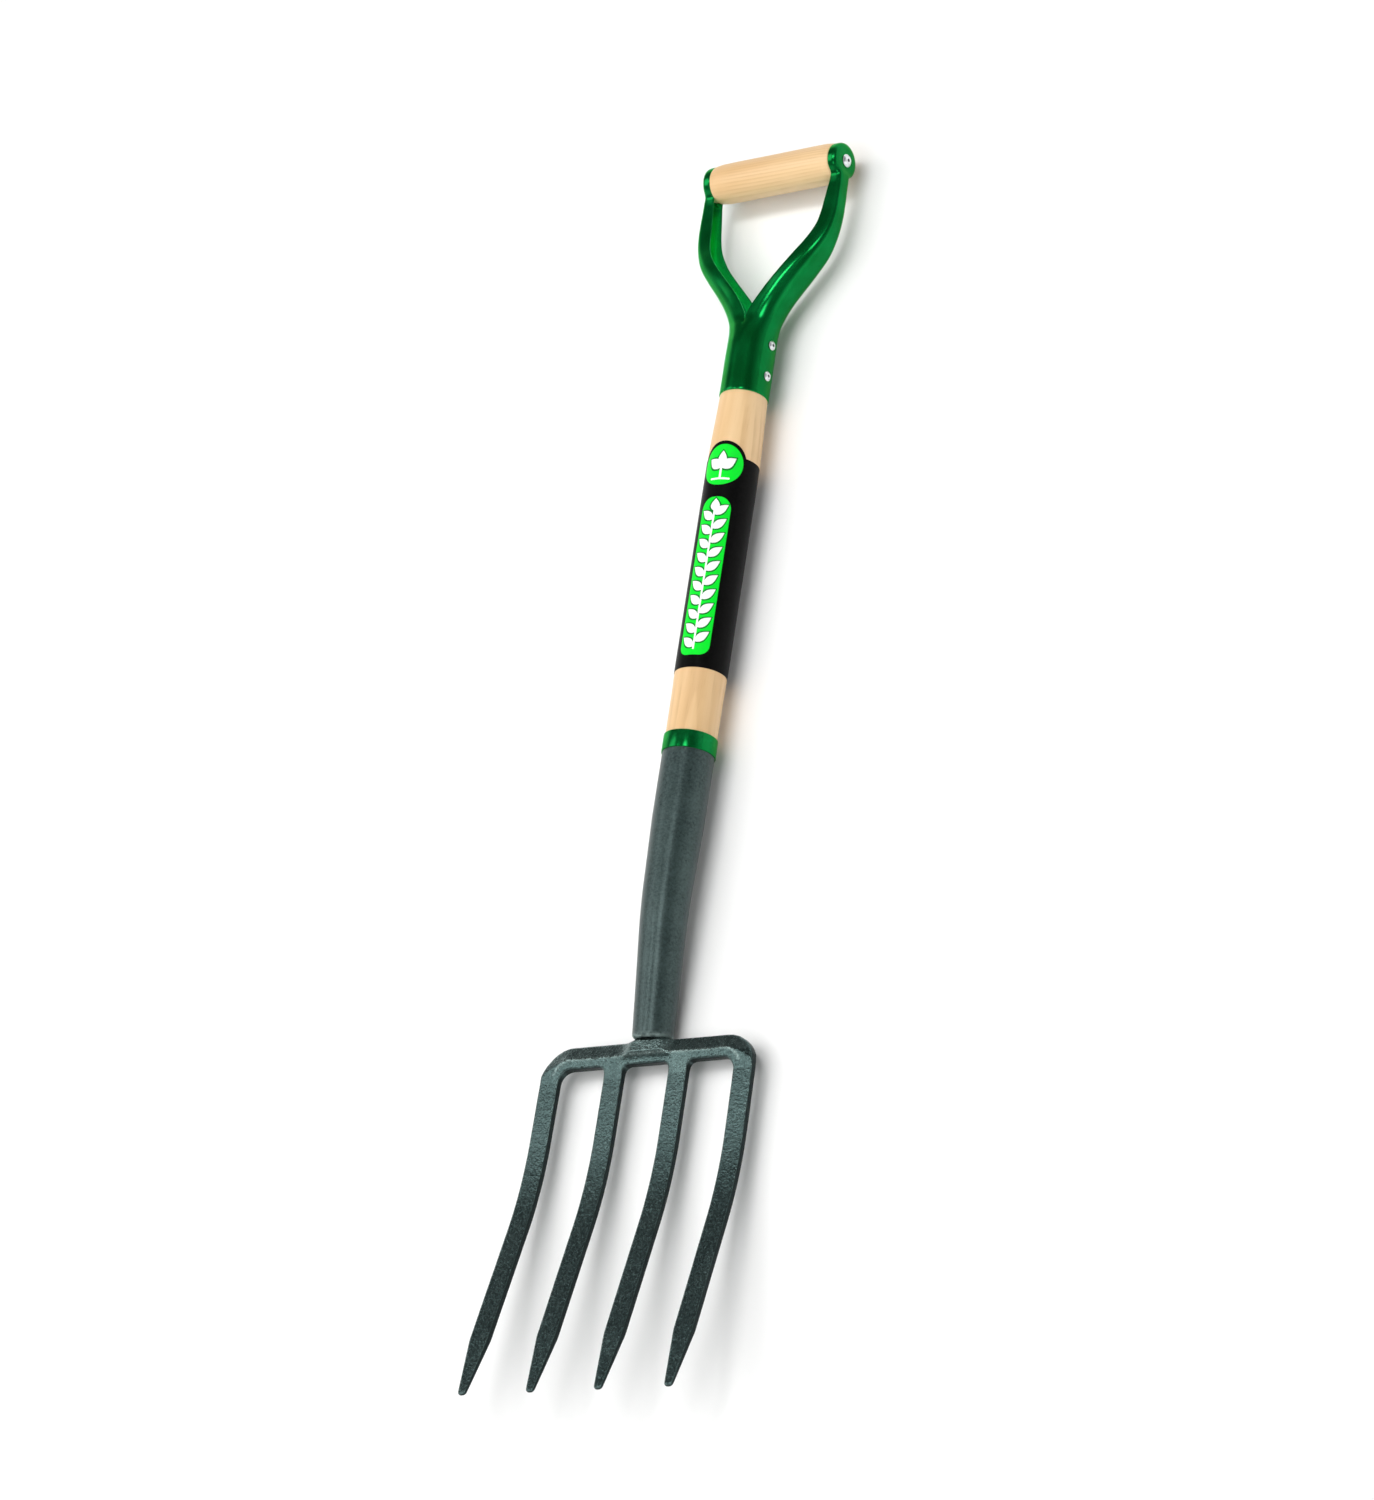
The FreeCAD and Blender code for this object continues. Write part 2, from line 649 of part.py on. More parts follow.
def make_ferrule_pin():
    """Small round-head pin driven through the back of the ferrule into the shaft."""
    start = (0, size("pin_level"), -size("ferrule_radius"))
    return turned("ferrule_pin", [
        ("0", "pin_length", None),
        ("pin_radius", "pin_length", None),
        ("pin_radius", "0", None),
        ("pin_head_radius", "0", None),
        ("pin_head_rim", "- pin_head_height + dimple_rim", None),
        ("0", "- pin_head_height", None),
    ], "V_Axis", start, 90.0)


pieces = [
    make_shaft(),
    make_label(),
    make_collar(),
    make_ferrule(),
    make_ferrule_pin(),
    make_fork_head(),
    make_yoke(),
    make_rivet("yoke_rivet_lower", "yoke_radius", "rivet", "rivet_low"),
    make_rivet("yoke_rivet_upper", "yoke_radius", "rivet", "rivet_low + rivet_spacing"),
    make_cross_grip(),
    make_rivet("grip_rivet", "eye_face", "grip_rivet", "grip_level"),
]
document.recompute()

for item in document.Objects:
    if "Invalid" in item.State or "Error" in item.State:
        raise RuntimeError(f"{item.Label} did not compute: {item.State}")
os.makedirs("parts", exist_ok=True)
for piece in pieces:
    if piece.Shape.isNull() or not piece.Shape.isValid():
        raise RuntimeError(f"{piece.Label} has no valid shape")
    piece.Shape.exportStep(f"parts/{piece.Label}.step")
    box = piece.Shape.BoundBox
    print(piece.Label, len(piece.Shape.Solids), "solid", round(piece.Shape.Volume), "mm3",
          [round(v, 1) for v in (box.XMin, box.XMax, box.YMin, box.YMax, box.ZMin, box.ZMax)])
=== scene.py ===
import math

import bmesh
import bpy
import numpy as np
from mathutils import Matrix, Vector
from mathutils.geometry import delaunay_2d_cdt


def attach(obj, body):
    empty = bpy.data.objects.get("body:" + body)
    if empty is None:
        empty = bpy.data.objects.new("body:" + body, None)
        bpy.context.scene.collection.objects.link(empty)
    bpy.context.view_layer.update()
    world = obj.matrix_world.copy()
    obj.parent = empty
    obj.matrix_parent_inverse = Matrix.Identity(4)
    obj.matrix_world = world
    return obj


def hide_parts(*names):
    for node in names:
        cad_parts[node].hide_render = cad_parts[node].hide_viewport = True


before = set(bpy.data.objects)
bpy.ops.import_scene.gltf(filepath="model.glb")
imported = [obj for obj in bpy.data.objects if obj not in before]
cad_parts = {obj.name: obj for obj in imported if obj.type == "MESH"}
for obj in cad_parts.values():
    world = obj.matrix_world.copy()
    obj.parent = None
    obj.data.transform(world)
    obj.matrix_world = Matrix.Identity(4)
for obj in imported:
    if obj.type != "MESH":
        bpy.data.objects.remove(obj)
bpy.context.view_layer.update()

# The fork lies on its back. Shapes below are written in millimetres as (across, level, front):
# across the tines, level above the tine tips along the handle, and in front of the handle's axis.
MILLIMETRE = 0.001
MIDDLE = 502.0
AXIS_HEIGHT = 25.247

WELD = 1e-6                         # metres between points that count as one
NEARLY_STRAIGHT = math.radians(88)  # half the angle of a corner too flat to be rounded
LONGEST_CUT = 0.48                  # share of a side that one rounded corner may take


# -------- meshes

def to_row(points):
    """Millimetres (across, level, front) to metres in the row frame."""
    points = np.asarray(points, float)
    return (points + np.array([0.0, -MIDDLE, AXIS_HEIGHT])) * MILLIMETRE


def link(item):
    bpy.context.scene.collection.objects.link(item)
    return item


def piece(name, points, faces, node, materials, sharp=None, face_materials=None, light_and_wear_marks=None,
          shade=None):
    """A mesh piece that stands for a CAD node; edges bent by more than sharp degrees stay hard."""
    mesh = bpy.data.meshes.new(name)
    mesh.from_pydata(to_row(points).tolist(), [], [list(map(int, face)) for face in faces])
    mesh.validate()
    mesh.shade_smooth()
    if sharp is not None:
        mesh.set_sharp_from_angle(angle=math.radians(sharp))
    for material in materials:
        mesh.materials.append(material)
    if face_materials is not None:
        mesh.polygons.foreach_set("material_index", np.asarray(face_materials, np.int32))
    # per-point shares: the first carries painted highlights, painted shade in dimples and some worn
    # paint; the second carries painted shade on the head and painted light in the yoke
    for attribute, values in (("wear", light_and_wear_marks), ("shade", shade)):
        if values is not None:
            layer = mesh.attributes.new(attribute, "FLOAT", "POINT")
            layer.data.foreach_set("value", np.asarray(values, np.float32))
    item = link(bpy.data.objects.new(name, mesh))
    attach(item, "root")
    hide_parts(node)
    return item


def close_mesh(item, largest_hole=0):
    """Joins doubled points, fills small holes and turns every face outwards."""
    sheet = bmesh.new()
    sheet.from_mesh(item.data)
    bmesh.ops.remove_doubles(sheet, verts=sheet.verts, dist=WELD)
    if largest_hole:
        rims = [edge for edge in sheet.edges if edge.is_boundary]
        bmesh.ops.holes_fill(sheet, edges=rims, sides=largest_hole)
    bmesh.ops.recalc_face_normals(sheet, faces=sheet.faces)
    sheet.to_mesh(item.data)
    sheet.free()
    return item


def soften(corners, radius, steps=5, closed=False):
    """Rounds the corners of a line of points with arcs; each corner may carry its own radius."""
    count = len(corners)
    line = []
    for index, corner in enumerate(corners):
        here = np.array(corner[:2], float)
        reach = corner[2] if len(corner) > 2 else radius
        if not closed and index in (0, count - 1) or reach == 0:
            line.append(here)
            continue
        before = np.array(corners[index - 1][:2], float) - here
        after = np.array(corners[(index + 1) % count][:2], float) - here
        long_before, long_after = np.linalg.norm(before), np.linalg.norm(after)
        before, after = before / long_before, after / long_after
        half = math.acos(max(-1.0, min(1.0, float(before @ after)))) / 2
        if half > NEARLY_STRAIGHT:
            line.append(here)
            continue
        cut = min(reach / math.tan(half), LONGEST_CUT * long_before, LONGEST_CUT * long_after)
        arc_radius = cut * math.tan(half)
        bisector = (before + after) / np.linalg.norm(before + after)
        centre = here + bisector * arc_radius / math.sin(half)
        start, end = here + before * cut - centre, here + after * cut - centre
        sweep = math.pi - 2 * half
        for step in range(steps + 1):
            share = step / steps
            weight_start = math.sin((1 - share) * sweep) / math.sin(sweep)
            weight_end = math.sin(share * sweep) / math.sin(sweep)
            line.append(centre + start * weight_start + end * weight_end)
    return np.array(line)


def grid_faces(rows, columns, wrap_rows=False, wrap_columns=False, flip=False):
    """Quads of a grid of points stored row by row."""
    faces = []
    for i in range(rows if wrap_rows else rows - 1):
        for j in range(columns if wrap_columns else columns - 1):
            right, up = (j + 1) % columns, (i + 1) % rows
            face = (i * columns + j, i * columns + right, up * columns + right, up * columns + j)
            faces.append(face[::-1] if flip else face)
    return faces


def lathe(profile, along="level", centre=(0.0, 0.0, 0.0), segments=96):
    """Rings round an axis, "level" or "across", from a profile of (distance along it, radius)."""
    profile = np.asarray(profile, float)
    turn = np.linspace(0, 2 * math.pi, segments, endpoint=False)
    ring = np.repeat(profile[:, 1:2], segments, 1)
    length = np.repeat(profile[:, 0:1], segments, 1)
    if along == "level":
        points = np.stack([ring * np.sin(turn), length, ring * np.cos(turn)], -1)
    else:
        points = np.stack([length, ring * np.cos(turn), ring * np.sin(turn)], -1)
    points = points.reshape(-1, 3) + np.array(centre)
    return points, grid_faces(len(profile), segments, wrap_columns=True)


def polygon_distance(x, y, polygon):
    """Signed distance from points to a closed polygon, negative inside."""
    nearest = np.full(np.broadcast(x, y).shape, np.inf)
    inside = np.zeros(nearest.shape, bool)
    for (ax, ay), (bx, by) in zip(polygon, np.roll(polygon, -1, 0)):
        dx, dy = bx - ax, by - ay
        share = np.clip(((x - ax) * dx + (y - ay) * dy) / (dx * dx + dy * dy + 1e-12), 0, 1)
        nearest = np.minimum(nearest, (x - ax - share * dx) ** 2 + (y - ay - share * dy) ** 2)
        if ay != by:
            inside ^= ((ay > y) != (by > y)) & (x < dx * (y - ay) / dy + ax)
    return np.sqrt(nearest) * np.where(inside, -1.0, 1.0)


def surface_net(values, axes):
    """Points and quads over the zero surface of sampled values, one point in each crossed cell."""
    cells = np.array(values.shape) - 1
    keys, places, quads = [], [], []
    for axis in range(3):
        low = np.take(values, range(values.shape[axis] - 1), axis)
        high = np.take(values, range(1, values.shape[axis]), axis)
        index = np.argwhere((low < 0) != (high < 0))
        a, b = low[tuple(index.T)], high[tuple(index.T)]
        place = np.stack([axes[k][index[:, k]] for k in range(3)], 1)
        before, after = axes[axis][index[:, axis]], axes[axis][index[:, axis] + 1]
        place[:, axis] += a / (a - b) * (after - before)
        around = []
        for du, dw in ((0, 0), (-1, 0), (-1, -1), (0, -1)):
            cell = index.copy()
            cell[:, (axis + 1) % 3] += du
            cell[:, (axis + 2) % 3] += dw
            around.append(np.ravel_multi_index(cell.T, cells))
        around = np.stack(around, 1)
        quads.append(np.where((a < 0)[:, None], around, around[:, ::-1]))
        keys.append(around.ravel())
        places.append(np.repeat(place, 4, 0))
    keys, places = np.concatenate(keys), np.concatenate(places)
    used, inverse = np.unique(keys, return_inverse=True)
    count = np.bincount(inverse)
    points = np.stack([np.bincount(inverse, places[:, k]) / count for k in range(3)], 1)
    return points, np.searchsorted(used, np.concatenate(quads))


# -------- materials

class Nodes:
    """Short calls that add nodes to a node tree."""

    def __init__(self, tree):
        self.tree = tree

    def add(self, kind, sockets, **settings):
        node = self.tree.nodes.new("ShaderNode" + kind)
        for name, value in settings.items():
            setattr(node, name, value)
        for name, value in sockets.items():
            if isinstance(value, bpy.types.NodeSocket):
                self.tree.links.new(value, node.inputs[name])
            else:
                node.inputs[name].default_value = value
        return node

    def place(self):
        """Place on the object, in metres."""
        return self.add("TexCoord", {}).outputs["Object"]

    def stretched(self, vector, scale, turn=(0.0, 0.0, 0.0), shift=(0.0, 0.0, 0.0)):
        sockets = {"Vector": vector, "Scale": scale, "Rotation": turn, "Location": shift}
        return self.add("Mapping", sockets).outputs["Vector"]

    def noise(self, vector, scale, detail=2.0, rough=0.5):
        sockets = {"Vector": vector, "Scale": scale, "Detail": detail, "Roughness": rough}
        return self.add("TexNoise", sockets).outputs["Fac"]

    def maths(self, operation, a, b=0.0, c=0.0):
        return self.add("Math", {0: a, 1: b, 2: c}, operation=operation).outputs[0]

    def vector(self, operation, sockets):
        output = "Value" if operation in ("LENGTH", "DOT_PRODUCT") else "Vector"
        return self.add("VectorMath", sockets, operation=operation).outputs[output]

    def attribute(self, name):
        return self.add("Attribute", {}, attribute_name=name).outputs["Fac"]

    def spread(self, value, low, high, to_low=0.0, to_high=1.0):
        """Smooth step from to_low at low to to_high at high."""
        sockets = {"Value": value, "From Min": low, "From Max": high,
                   "To Min": to_low, "To Max": to_high}
        return self.add("MapRange", sockets, interpolation_type="SMOOTHSTEP").outputs["Result"]

    def mix(self, share, a, b):
        """Colour a where share is 0, b where it is 1."""
        node = self.add("Mix", {0: share}, data_type="RGBA")
        for index, colour in ((6, a), (7, b)):
            if isinstance(colour, bpy.types.NodeSocket):
                self.tree.links.new(colour, node.inputs[index])
            else:
                node.inputs[index].default_value = (*colour, 1.0)
        return node.outputs[2]

    def bump(self, height, strength, distance):
        sockets = {"Height": height, "Strength": strength, "Distance": distance}
        return self.add("Bump", sockets).outputs["Normal"]


class Surface(Nodes):
    """A material with a Principled shader."""

    def __init__(self, name, **constants):
        self.material = bpy.data.materials.new(name)
        self.material.use_nodes = True
        super().__init__(self.material.node_tree)
        self.shader = self.tree.nodes["Principled BSDF"]
        for socket, value in constants.items():
            self.shader.inputs[socket.replace("_", " ")].default_value = value
        self.material.diffuse_color = self.shader.inputs["Base Color"].default_value

    def finish(self, **links):
        for socket, source in links.items():
            self.tree.links.new(source, self.shader.inputs[socket.replace("_", " ")])
        return self.material


def wood(name, along, seed, rings):
    """Pale ash with growth rings cut lengthwise, fine pores and a thin varnish."""
    pale, warm, dark = (0.80, 0.56, 0.305), (0.70, 0.45, 0.215), (0.50, 0.28, 0.115)
    s = Surface(name, Base_Color=(0.75, 0.52, 0.28, 1), IOR=1.5, Coat_Weight=0.12,
                Coat_Roughness=0.25)
    # the grain is turned along the piece, a little askew
    turn = (0.022, 0.0, 0.014) if along == "level" else (0.022, 0.0, math.pi / 2)
    shift = (seed * 0.37, seed * 0.11, seed * 0.23)
    pith_place = (-0.050 + seed * 0.37, 0.0, -0.060 + seed * 0.23)
    grain = s.stretched(s.place(), (1.0, 1.0, 1.0), turn, shift)
    long_noise = s.add("TexNoise", {"Vector": s.stretched(grain, (1.0, 0.16, 1.0)), "Scale": 14.0,
                                    "Detail": 2.0}).outputs["Color"]
    offset = s.vector("SUBTRACT", {0: long_noise, 1: (0.5, 0.5, 0.5)})
    offset = s.vector("SCALE", {0: offset, "Scale": 0.026})
    warped = s.vector("ADD", {0: grain, 1: offset})
    # growth rings: distance from the pith, warped by slow noise
    pith = s.vector("SUBTRACT", {0: warped, 1: pith_place})
    distance = s.vector("LENGTH", {0: s.vector("MULTIPLY", {0: pith, 1: (1.0, 0.012, 1.0)})})
    ring = s.maths("FRACT", s.maths("MULTIPLY", distance, rings))
    late = s.maths("MULTIPLY", s.spread(ring, 0.35, 0.90), s.spread(ring, 1.0, 0.93))
    uneven = s.spread(s.noise(grain, 30.0, 2.0, 0.5), 0.35, 0.65, 0.25, 1.0)
    late = s.maths("MULTIPLY", late, uneven)
    pores = s.noise(s.stretched(grain, (1.0, 0.022, 1.0)), 1500.0, 3.0, 0.6)
    pore_mark = s.spread(pores, 0.56, 0.72)
    clouds = s.noise(s.stretched(grain, (1.0, 0.08, 1.0)), 45.0, 3.0, 0.55)
    tint = s.mix(s.spread(clouds, 0.35, 0.70), pale, warm)
    tint = s.mix(s.maths("MULTIPLY", late, 0.30), tint, dark)
    pore_share = s.maths("MULTIPLY", pore_mark, s.maths("MULTIPLY_ADD", late, 0.30, 0.16))
    tint = s.mix(pore_share, tint, dark)
    height = s.maths("ADD", s.maths("MULTIPLY", pore_mark, -0.6), s.maths("MULTIPLY", late, -0.4))
    return s.finish(Base_Color=tint, Roughness=s.spread(clouds, 0.2, 0.8, 0.36, 0.50),
                    Normal=s.bump(height, 0.25, 0.0002))


def hammered(name, flecks=1.0, rough=0.20, metal=0.92, tone=1.0):
    """Slate-green hammered enamel: painted highlights, with some worn paint, on marked edges, and
    painted shade where "shade" is set.
    """
    tones = (0.042, 0.070, 0.069), (0.086, 0.134, 0.130), (0.36, 0.46, 0.45), (0.135, 0.20, 0.19)
    dark, middle, pale, cloudy = (tuple(tone * channel for channel in colour) for colour in tones)
    bare_edge_and_highlight, painted_shade_tone = (0.34, 0.44, 0.42), (0.012, 0.018, 0.018)
    s = Surface(name, Base_Color=(0.06, 0.10, 0.098, 1), Metallic=metal, IOR=1.45)
    s.shader.inputs["Specular IOR Level"].default_value = 0.35
    place = s.place()
    dents = s.noise(place, 480.0, 4.0, 0.65)
    cells = s.add("TexVoronoi", {"Vector": place, "Scale": 800.0, "Smoothness": 0.7},
                  feature="SMOOTH_F1").outputs["Distance"]
    clouds = s.noise(place, 28.0, 4.0, 0.6)
    fine = s.noise(place, 1500.0, 2.0, 0.6)
    tint = s.mix(s.spread(dents, 0.30, 0.70), dark, middle)
    tint = s.mix(s.maths("MULTIPLY", s.spread(clouds, 0.45, 0.75), 0.3), tint, cloudy)
    fleck = s.maths("MULTIPLY", s.spread(fine, 0.60, 0.74), 0.45 * flecks)
    tint = s.mix(fleck, tint, pale)
    # painted highlight: a paler tone on the marked ridge, bevel and rims; on the head's edges it is
    # partly worn paint
    wear = s.attribute("wear")
    patches = s.spread(s.noise(place, 220.0, 4.0, 0.7), 0.30, 0.62, 0.10, 0.70)
    tint = s.mix(s.maths("MULTIPLY", wear, patches), tint, bare_edge_and_highlight)
    # painted shade: a near-black tone on the head's side faces and under its crossbar
    shade = s.attribute("shade")
    tint = s.mix(s.maths("MULTIPLY", shade, 0.9), tint, painted_shade_tone)
    height = s.maths("ADD", s.maths("MULTIPLY", dents, 0.6), s.maths("MULTIPLY", cells, 0.8))
    height = s.maths("ADD", height, s.maths("MULTIPLY", fine, 0.2))
    height = s.maths("ADD", height, s.maths("MULTIPLY", s.noise(place, 230.0, 2.0, 0.5), 1.3))
    skin = s.spread(dents, 0.25, 0.75, rough, rough + 0.10)
    return s.finish(Base_Color=tint, Roughness=s.maths("MULTIPLY_ADD", shade, 0.3, skin),
                    Normal=s.bump(height, 0.75 * flecks, 0.00035))


def enamel(name, dark, light):
    """Glossy green metal enamel with an orange-peel skin and dust marks; pale green painted
    highlights on the marked lips and edges, and painted light on the channel insides.
    """
    painted_edge_highlight, painted_inner_light = (0.03, 0.62, 0.20), (0.02, 0.80, 0.28)
    s = Surface(name, Base_Color=(*light, 1), Metallic=0.80, IOR=1.45, Coat_Weight=0.04,
                Coat_Roughness=0.06)
    s.shader.inputs["Specular Tint"].default_value = (0.12, 1.0, 0.42, 1)
    place = s.place()
    clouds = s.noise(place, 35.0, 3.0, 0.6)
    dust = s.spread(s.noise(place, 900.0, 1.0, 0.5), 0.72, 0.80)
    # painted highlight: a pale green on the yoke's lips and the collar's top edge
    wear = s.attribute("wear")
    tint = s.mix(s.spread(clouds, 0.3, 0.7), dark, light)
    patches = s.spread(s.noise(place, 300.0, 3.0, 0.6), 0.4, 0.7, 0.15, 0.6)
    tint = s.mix(s.maths("MULTIPLY", wear, patches), tint, painted_edge_highlight)
    # painted light: where "shade" is set, the channel insides are painted a pale, bright green
    inner = s.attribute("shade")
    tint = s.mix(inner, tint, painted_inner_light)
    skin = s.maths("ADD", s.noise(place, 260.0, 1.0, 0.4), s.maths("MULTIPLY", dust, 0.3))
    return s.finish(Base_Color=tint, Roughness=s.spread(clouds, 0.3, 0.8, 0.15, 0.23),
                    Normal=s.bump(skin, 0.05, 0.0004))


def zinc(name):
    """Zinc-plated rivet steel with turning marks and a dull bloom; painted shade, near black, in
    the marked dimples.
    """
    bright, dull, painted_pit_shade = (0.86, 0.88, 0.90), (0.62, 0.64, 0.66), (0.03, 0.035, 0.035)
    s = Surface(name, Base_Color=(0.70, 0.72, 0.74, 1), Metallic=1.0)
    place = s.place()
    bloom = s.noise(place, 700.0, 4.0, 0.65)
    scratch = s.noise(s.stretched(place, (0.2, 1.0, 1.0)), 2600.0, 2.0, 0.5)
    tint = s.mix(s.spread(bloom, 0.35, 0.7), bright, dull)
    # painted shade: the dimple at the middle of each head is painted near black
    wear = s.attribute("wear")
    tint = s.mix(s.maths("MULTIPLY", wear, 0.92), tint, painted_pit_shade)
    return s.finish(Base_Color=tint, Roughness=s.spread(bloom, 0.3, 0.7, 0.24, 0.42),
                    Normal=s.bump(scratch, 0.12, 0.0002))


def print_ink(name, colour, mottled, rough=0.3):
    """Ink on a plastic film: a slight mottle in the colour and small ripples in the film."""
    s = Surface(name, Base_Color=(*colour, 1), IOR=1.4)
    s.shader.inputs["Specular IOR Level"].default_value = 0.08
    place = s.place()
    mottle = s.noise(place, 420.0, 3.0, 0.6)
    ripple = s.noise(s.stretched(place, (1.0, 0.35, 1.0)), 55.0, 2.0, 0.5)
    return s.finish(Base_Color=s.mix(s.spread(mottle, 0.35, 0.75), colour, mottled),
                    Roughness=s.spread(ripple, 0.3, 0.7, rough, rough + 0.1),
                    Normal=s.bump(ripple, 0.10, 0.0008))


def floor_paper(name):
    """Matt pale studio paper."""
    pale, cloudy = (0.90, 0.90, 0.895), (0.885, 0.885, 0.88)
    s = Surface(name, Base_Color=(*pale, 1), Roughness=0.75)
    tone = s.spread(s.noise(s.place(), 2.0, 2.0, 0.5), 0.3, 0.7)
    s.shader.inputs["Specular IOR Level"].default_value = 0.1
    return s.finish(Base_Color=s.mix(tone, pale, cloudy))


ash = wood("ash_shaft", "level", seed=1.0, rings=260.0)
ash_grip = wood("ash_grip", "across", seed=2.0, rings=430.0)
slate = hammered("hammered_slate_enamel")
slate_smooth = hammered("slate_enamel_tube", flecks=0.20, rough=0.27, metal=0.42, tone=0.62)
green = enamel("green_enamel", dark=(0.001, 0.145, 0.026), light=(0.002, 0.20, 0.042))
zinc_steel = zinc("zinc_plate")
film_black = print_ink("film_black", (0.002, 0.002, 0.002), (0.004, 0.004, 0.004), rough=0.34)
film_green = print_ink("film_bright_green", (0.004, 0.80, 0.030), (0.012, 0.70, 0.040))
film_deep = print_ink("film_deep_green", (0.005, 0.18, 0.020), (0.005, 0.22, 0.025))
film_white = print_ink("film_white", (0.90, 0.93, 0.90), (0.84, 0.87, 0.84))


# -------- forged head

BAR_LOW, BAR_RIDGE, BAR_TOP = 258.9, 266.0, 277.0
BAR_FRONT, BAR_BACK, BAR_SHOULDER = 4.8, 4.4, 27.0
# middle of a tine at the crossbar and at its tip, and the round of its corner with the bar
OUTER_ROOT, OUTER_TIP, OUTER_FILLET = 88.4, 92.9, 10.0
INNER_ROOT, INNER_TIP, INNER_FILLET = 29.5, 30.6, 5.0
TINE_HALF_WIDTH, TINE_HALF_THICK = 8.6, 2.6
TIP_TAPER, TIP_KNEE, TIP_HALF_WIDTH, TIP_ROUND = 44.0, 40.0, 3.4, 3.1
HALF_BAR = OUTER_ROOT + TINE_HALF_WIDTH
NECK_HALF_WIDTH, NECK_FLARE, NECK_HALF_DEPTH = 10.0, 7.5, 5.0
BEND_RADIUS, BEND_LEVEL, BEND_ANGLE = 322.0, 168.0, math.radians(12.9)
HEAD_FRONT = -8.9
BEND_TOP = BEND_LEVEL + BEND_RADIUS * math.tan(BEND_ANGLE / 2)
BEND_END = BEND_TOP - BEND_RADIUS * math.sin(BEND_ANGLE)
LOWER_LENGTH = BEND_END / math.cos(BEND_ANGLE)
BEND_LENGTH = BEND_RADIUS * BEND_ANGLE


def flat_length(level):
    """Length along a tine from its tip, for a level above the tips."""
    level = np.asarray(level, float)
    turned = np.arcsin(np.clip((BEND_TOP - level) / BEND_RADIUS, 0, math.sin(BEND_ANGLE)))
    in_bend = LOWER_LENGTH + BEND_LENGTH - BEND_RADIUS * turned
    above = LOWER_LENGTH + BEND_LENGTH + level - BEND_TOP
    above_end = np.where(level > BEND_TOP, above, in_bend)
    return np.where(level < BEND_END, level / math.cos(BEND_ANGLE), above_end)


def bent(points):
    """Bends flat points (across, length, front of the middle plane) into the head's side view."""
    across, length, front = points.T
    turned = np.clip((LOWER_LENGTH + BEND_LENGTH - length) / BEND_RADIUS, 0, BEND_ANGLE)
    straight = np.maximum(0, LOWER_LENGTH - length)
    above = np.maximum(0, length - LOWER_LENGTH - BEND_LENGTH)
    level = BEND_TOP + above - BEND_RADIUS * np.sin(turned) - straight * np.cos(turned)
    rise = HEAD_FRONT + BEND_RADIUS * (1 - np.cos(turned)) + straight * np.sin(turned)
    return np.stack([across, level + front * np.sin(turned), rise + front * np.cos(turned)], 1)


def head_outline():
    """Front view of crossbar and tines, with lengths measured along the tines."""
    corners = [(-HALF_BAR, BAR_TOP, BAR_SHOULDER), (HALF_BAR, BAR_TOP, BAR_SHOULDER)]
    share = TIP_TAPER / BAR_LOW
    tines = [(OUTER_ROOT, OUTER_TIP, OUTER_FILLET), (INNER_ROOT, INNER_TIP, INNER_FILLET)]
    tines += [(-root, -tip, fillet) for root, tip, fillet in reversed(tines)]
    for number, (root, tip, fillet) in enumerate(tines):
        knee = tip + (root - tip) * share
        if number:
            corners.append((root + TINE_HALF_WIDTH, BAR_LOW, fillet))
        corners += [(knee + TINE_HALF_WIDTH, TIP_TAPER, TIP_KNEE),
                    (tip + TIP_HALF_WIDTH, 0.1, TIP_ROUND), (tip - TIP_HALF_WIDTH, 0.1, TIP_ROUND),
                    (knee - TINE_HALF_WIDTH, TIP_TAPER, TIP_KNEE)]
        if number < len(tines) - 1:
            corners.append((root - TINE_HALF_WIDTH, BAR_LOW, fillet))
    outline = soften(corners, 0, 8, closed=True)
    outline[:, 1] = flat_length(outline[:, 1])
    return outline


def head_side():
    """Side view with the tines laid flat: (length, front of the middle plane)."""
    thick = TINE_HALF_THICK
    taper, low, ridge, top = (
        float(flat_length(level)) for level in (TIP_TAPER, BAR_LOW, BAR_RIDGE, BAR_TOP))
    return np.array([
        (-2.0, 1.3), (taper, thick), (low - 9.0, thick), (low - 1.0, thick + 0.9),
        (ridge - 1.2, 4.7), (ridge + 0.4, BAR_FRONT), (top, BAR_FRONT), (top, -2.9),
        (top - 2.0, -BAR_BACK), (low + 2.0, -BAR_BACK), (low - 1.0, -thick - 0.7),
        (low - 7.0, -thick), (taper, -thick), (-2.0, -1.3)])


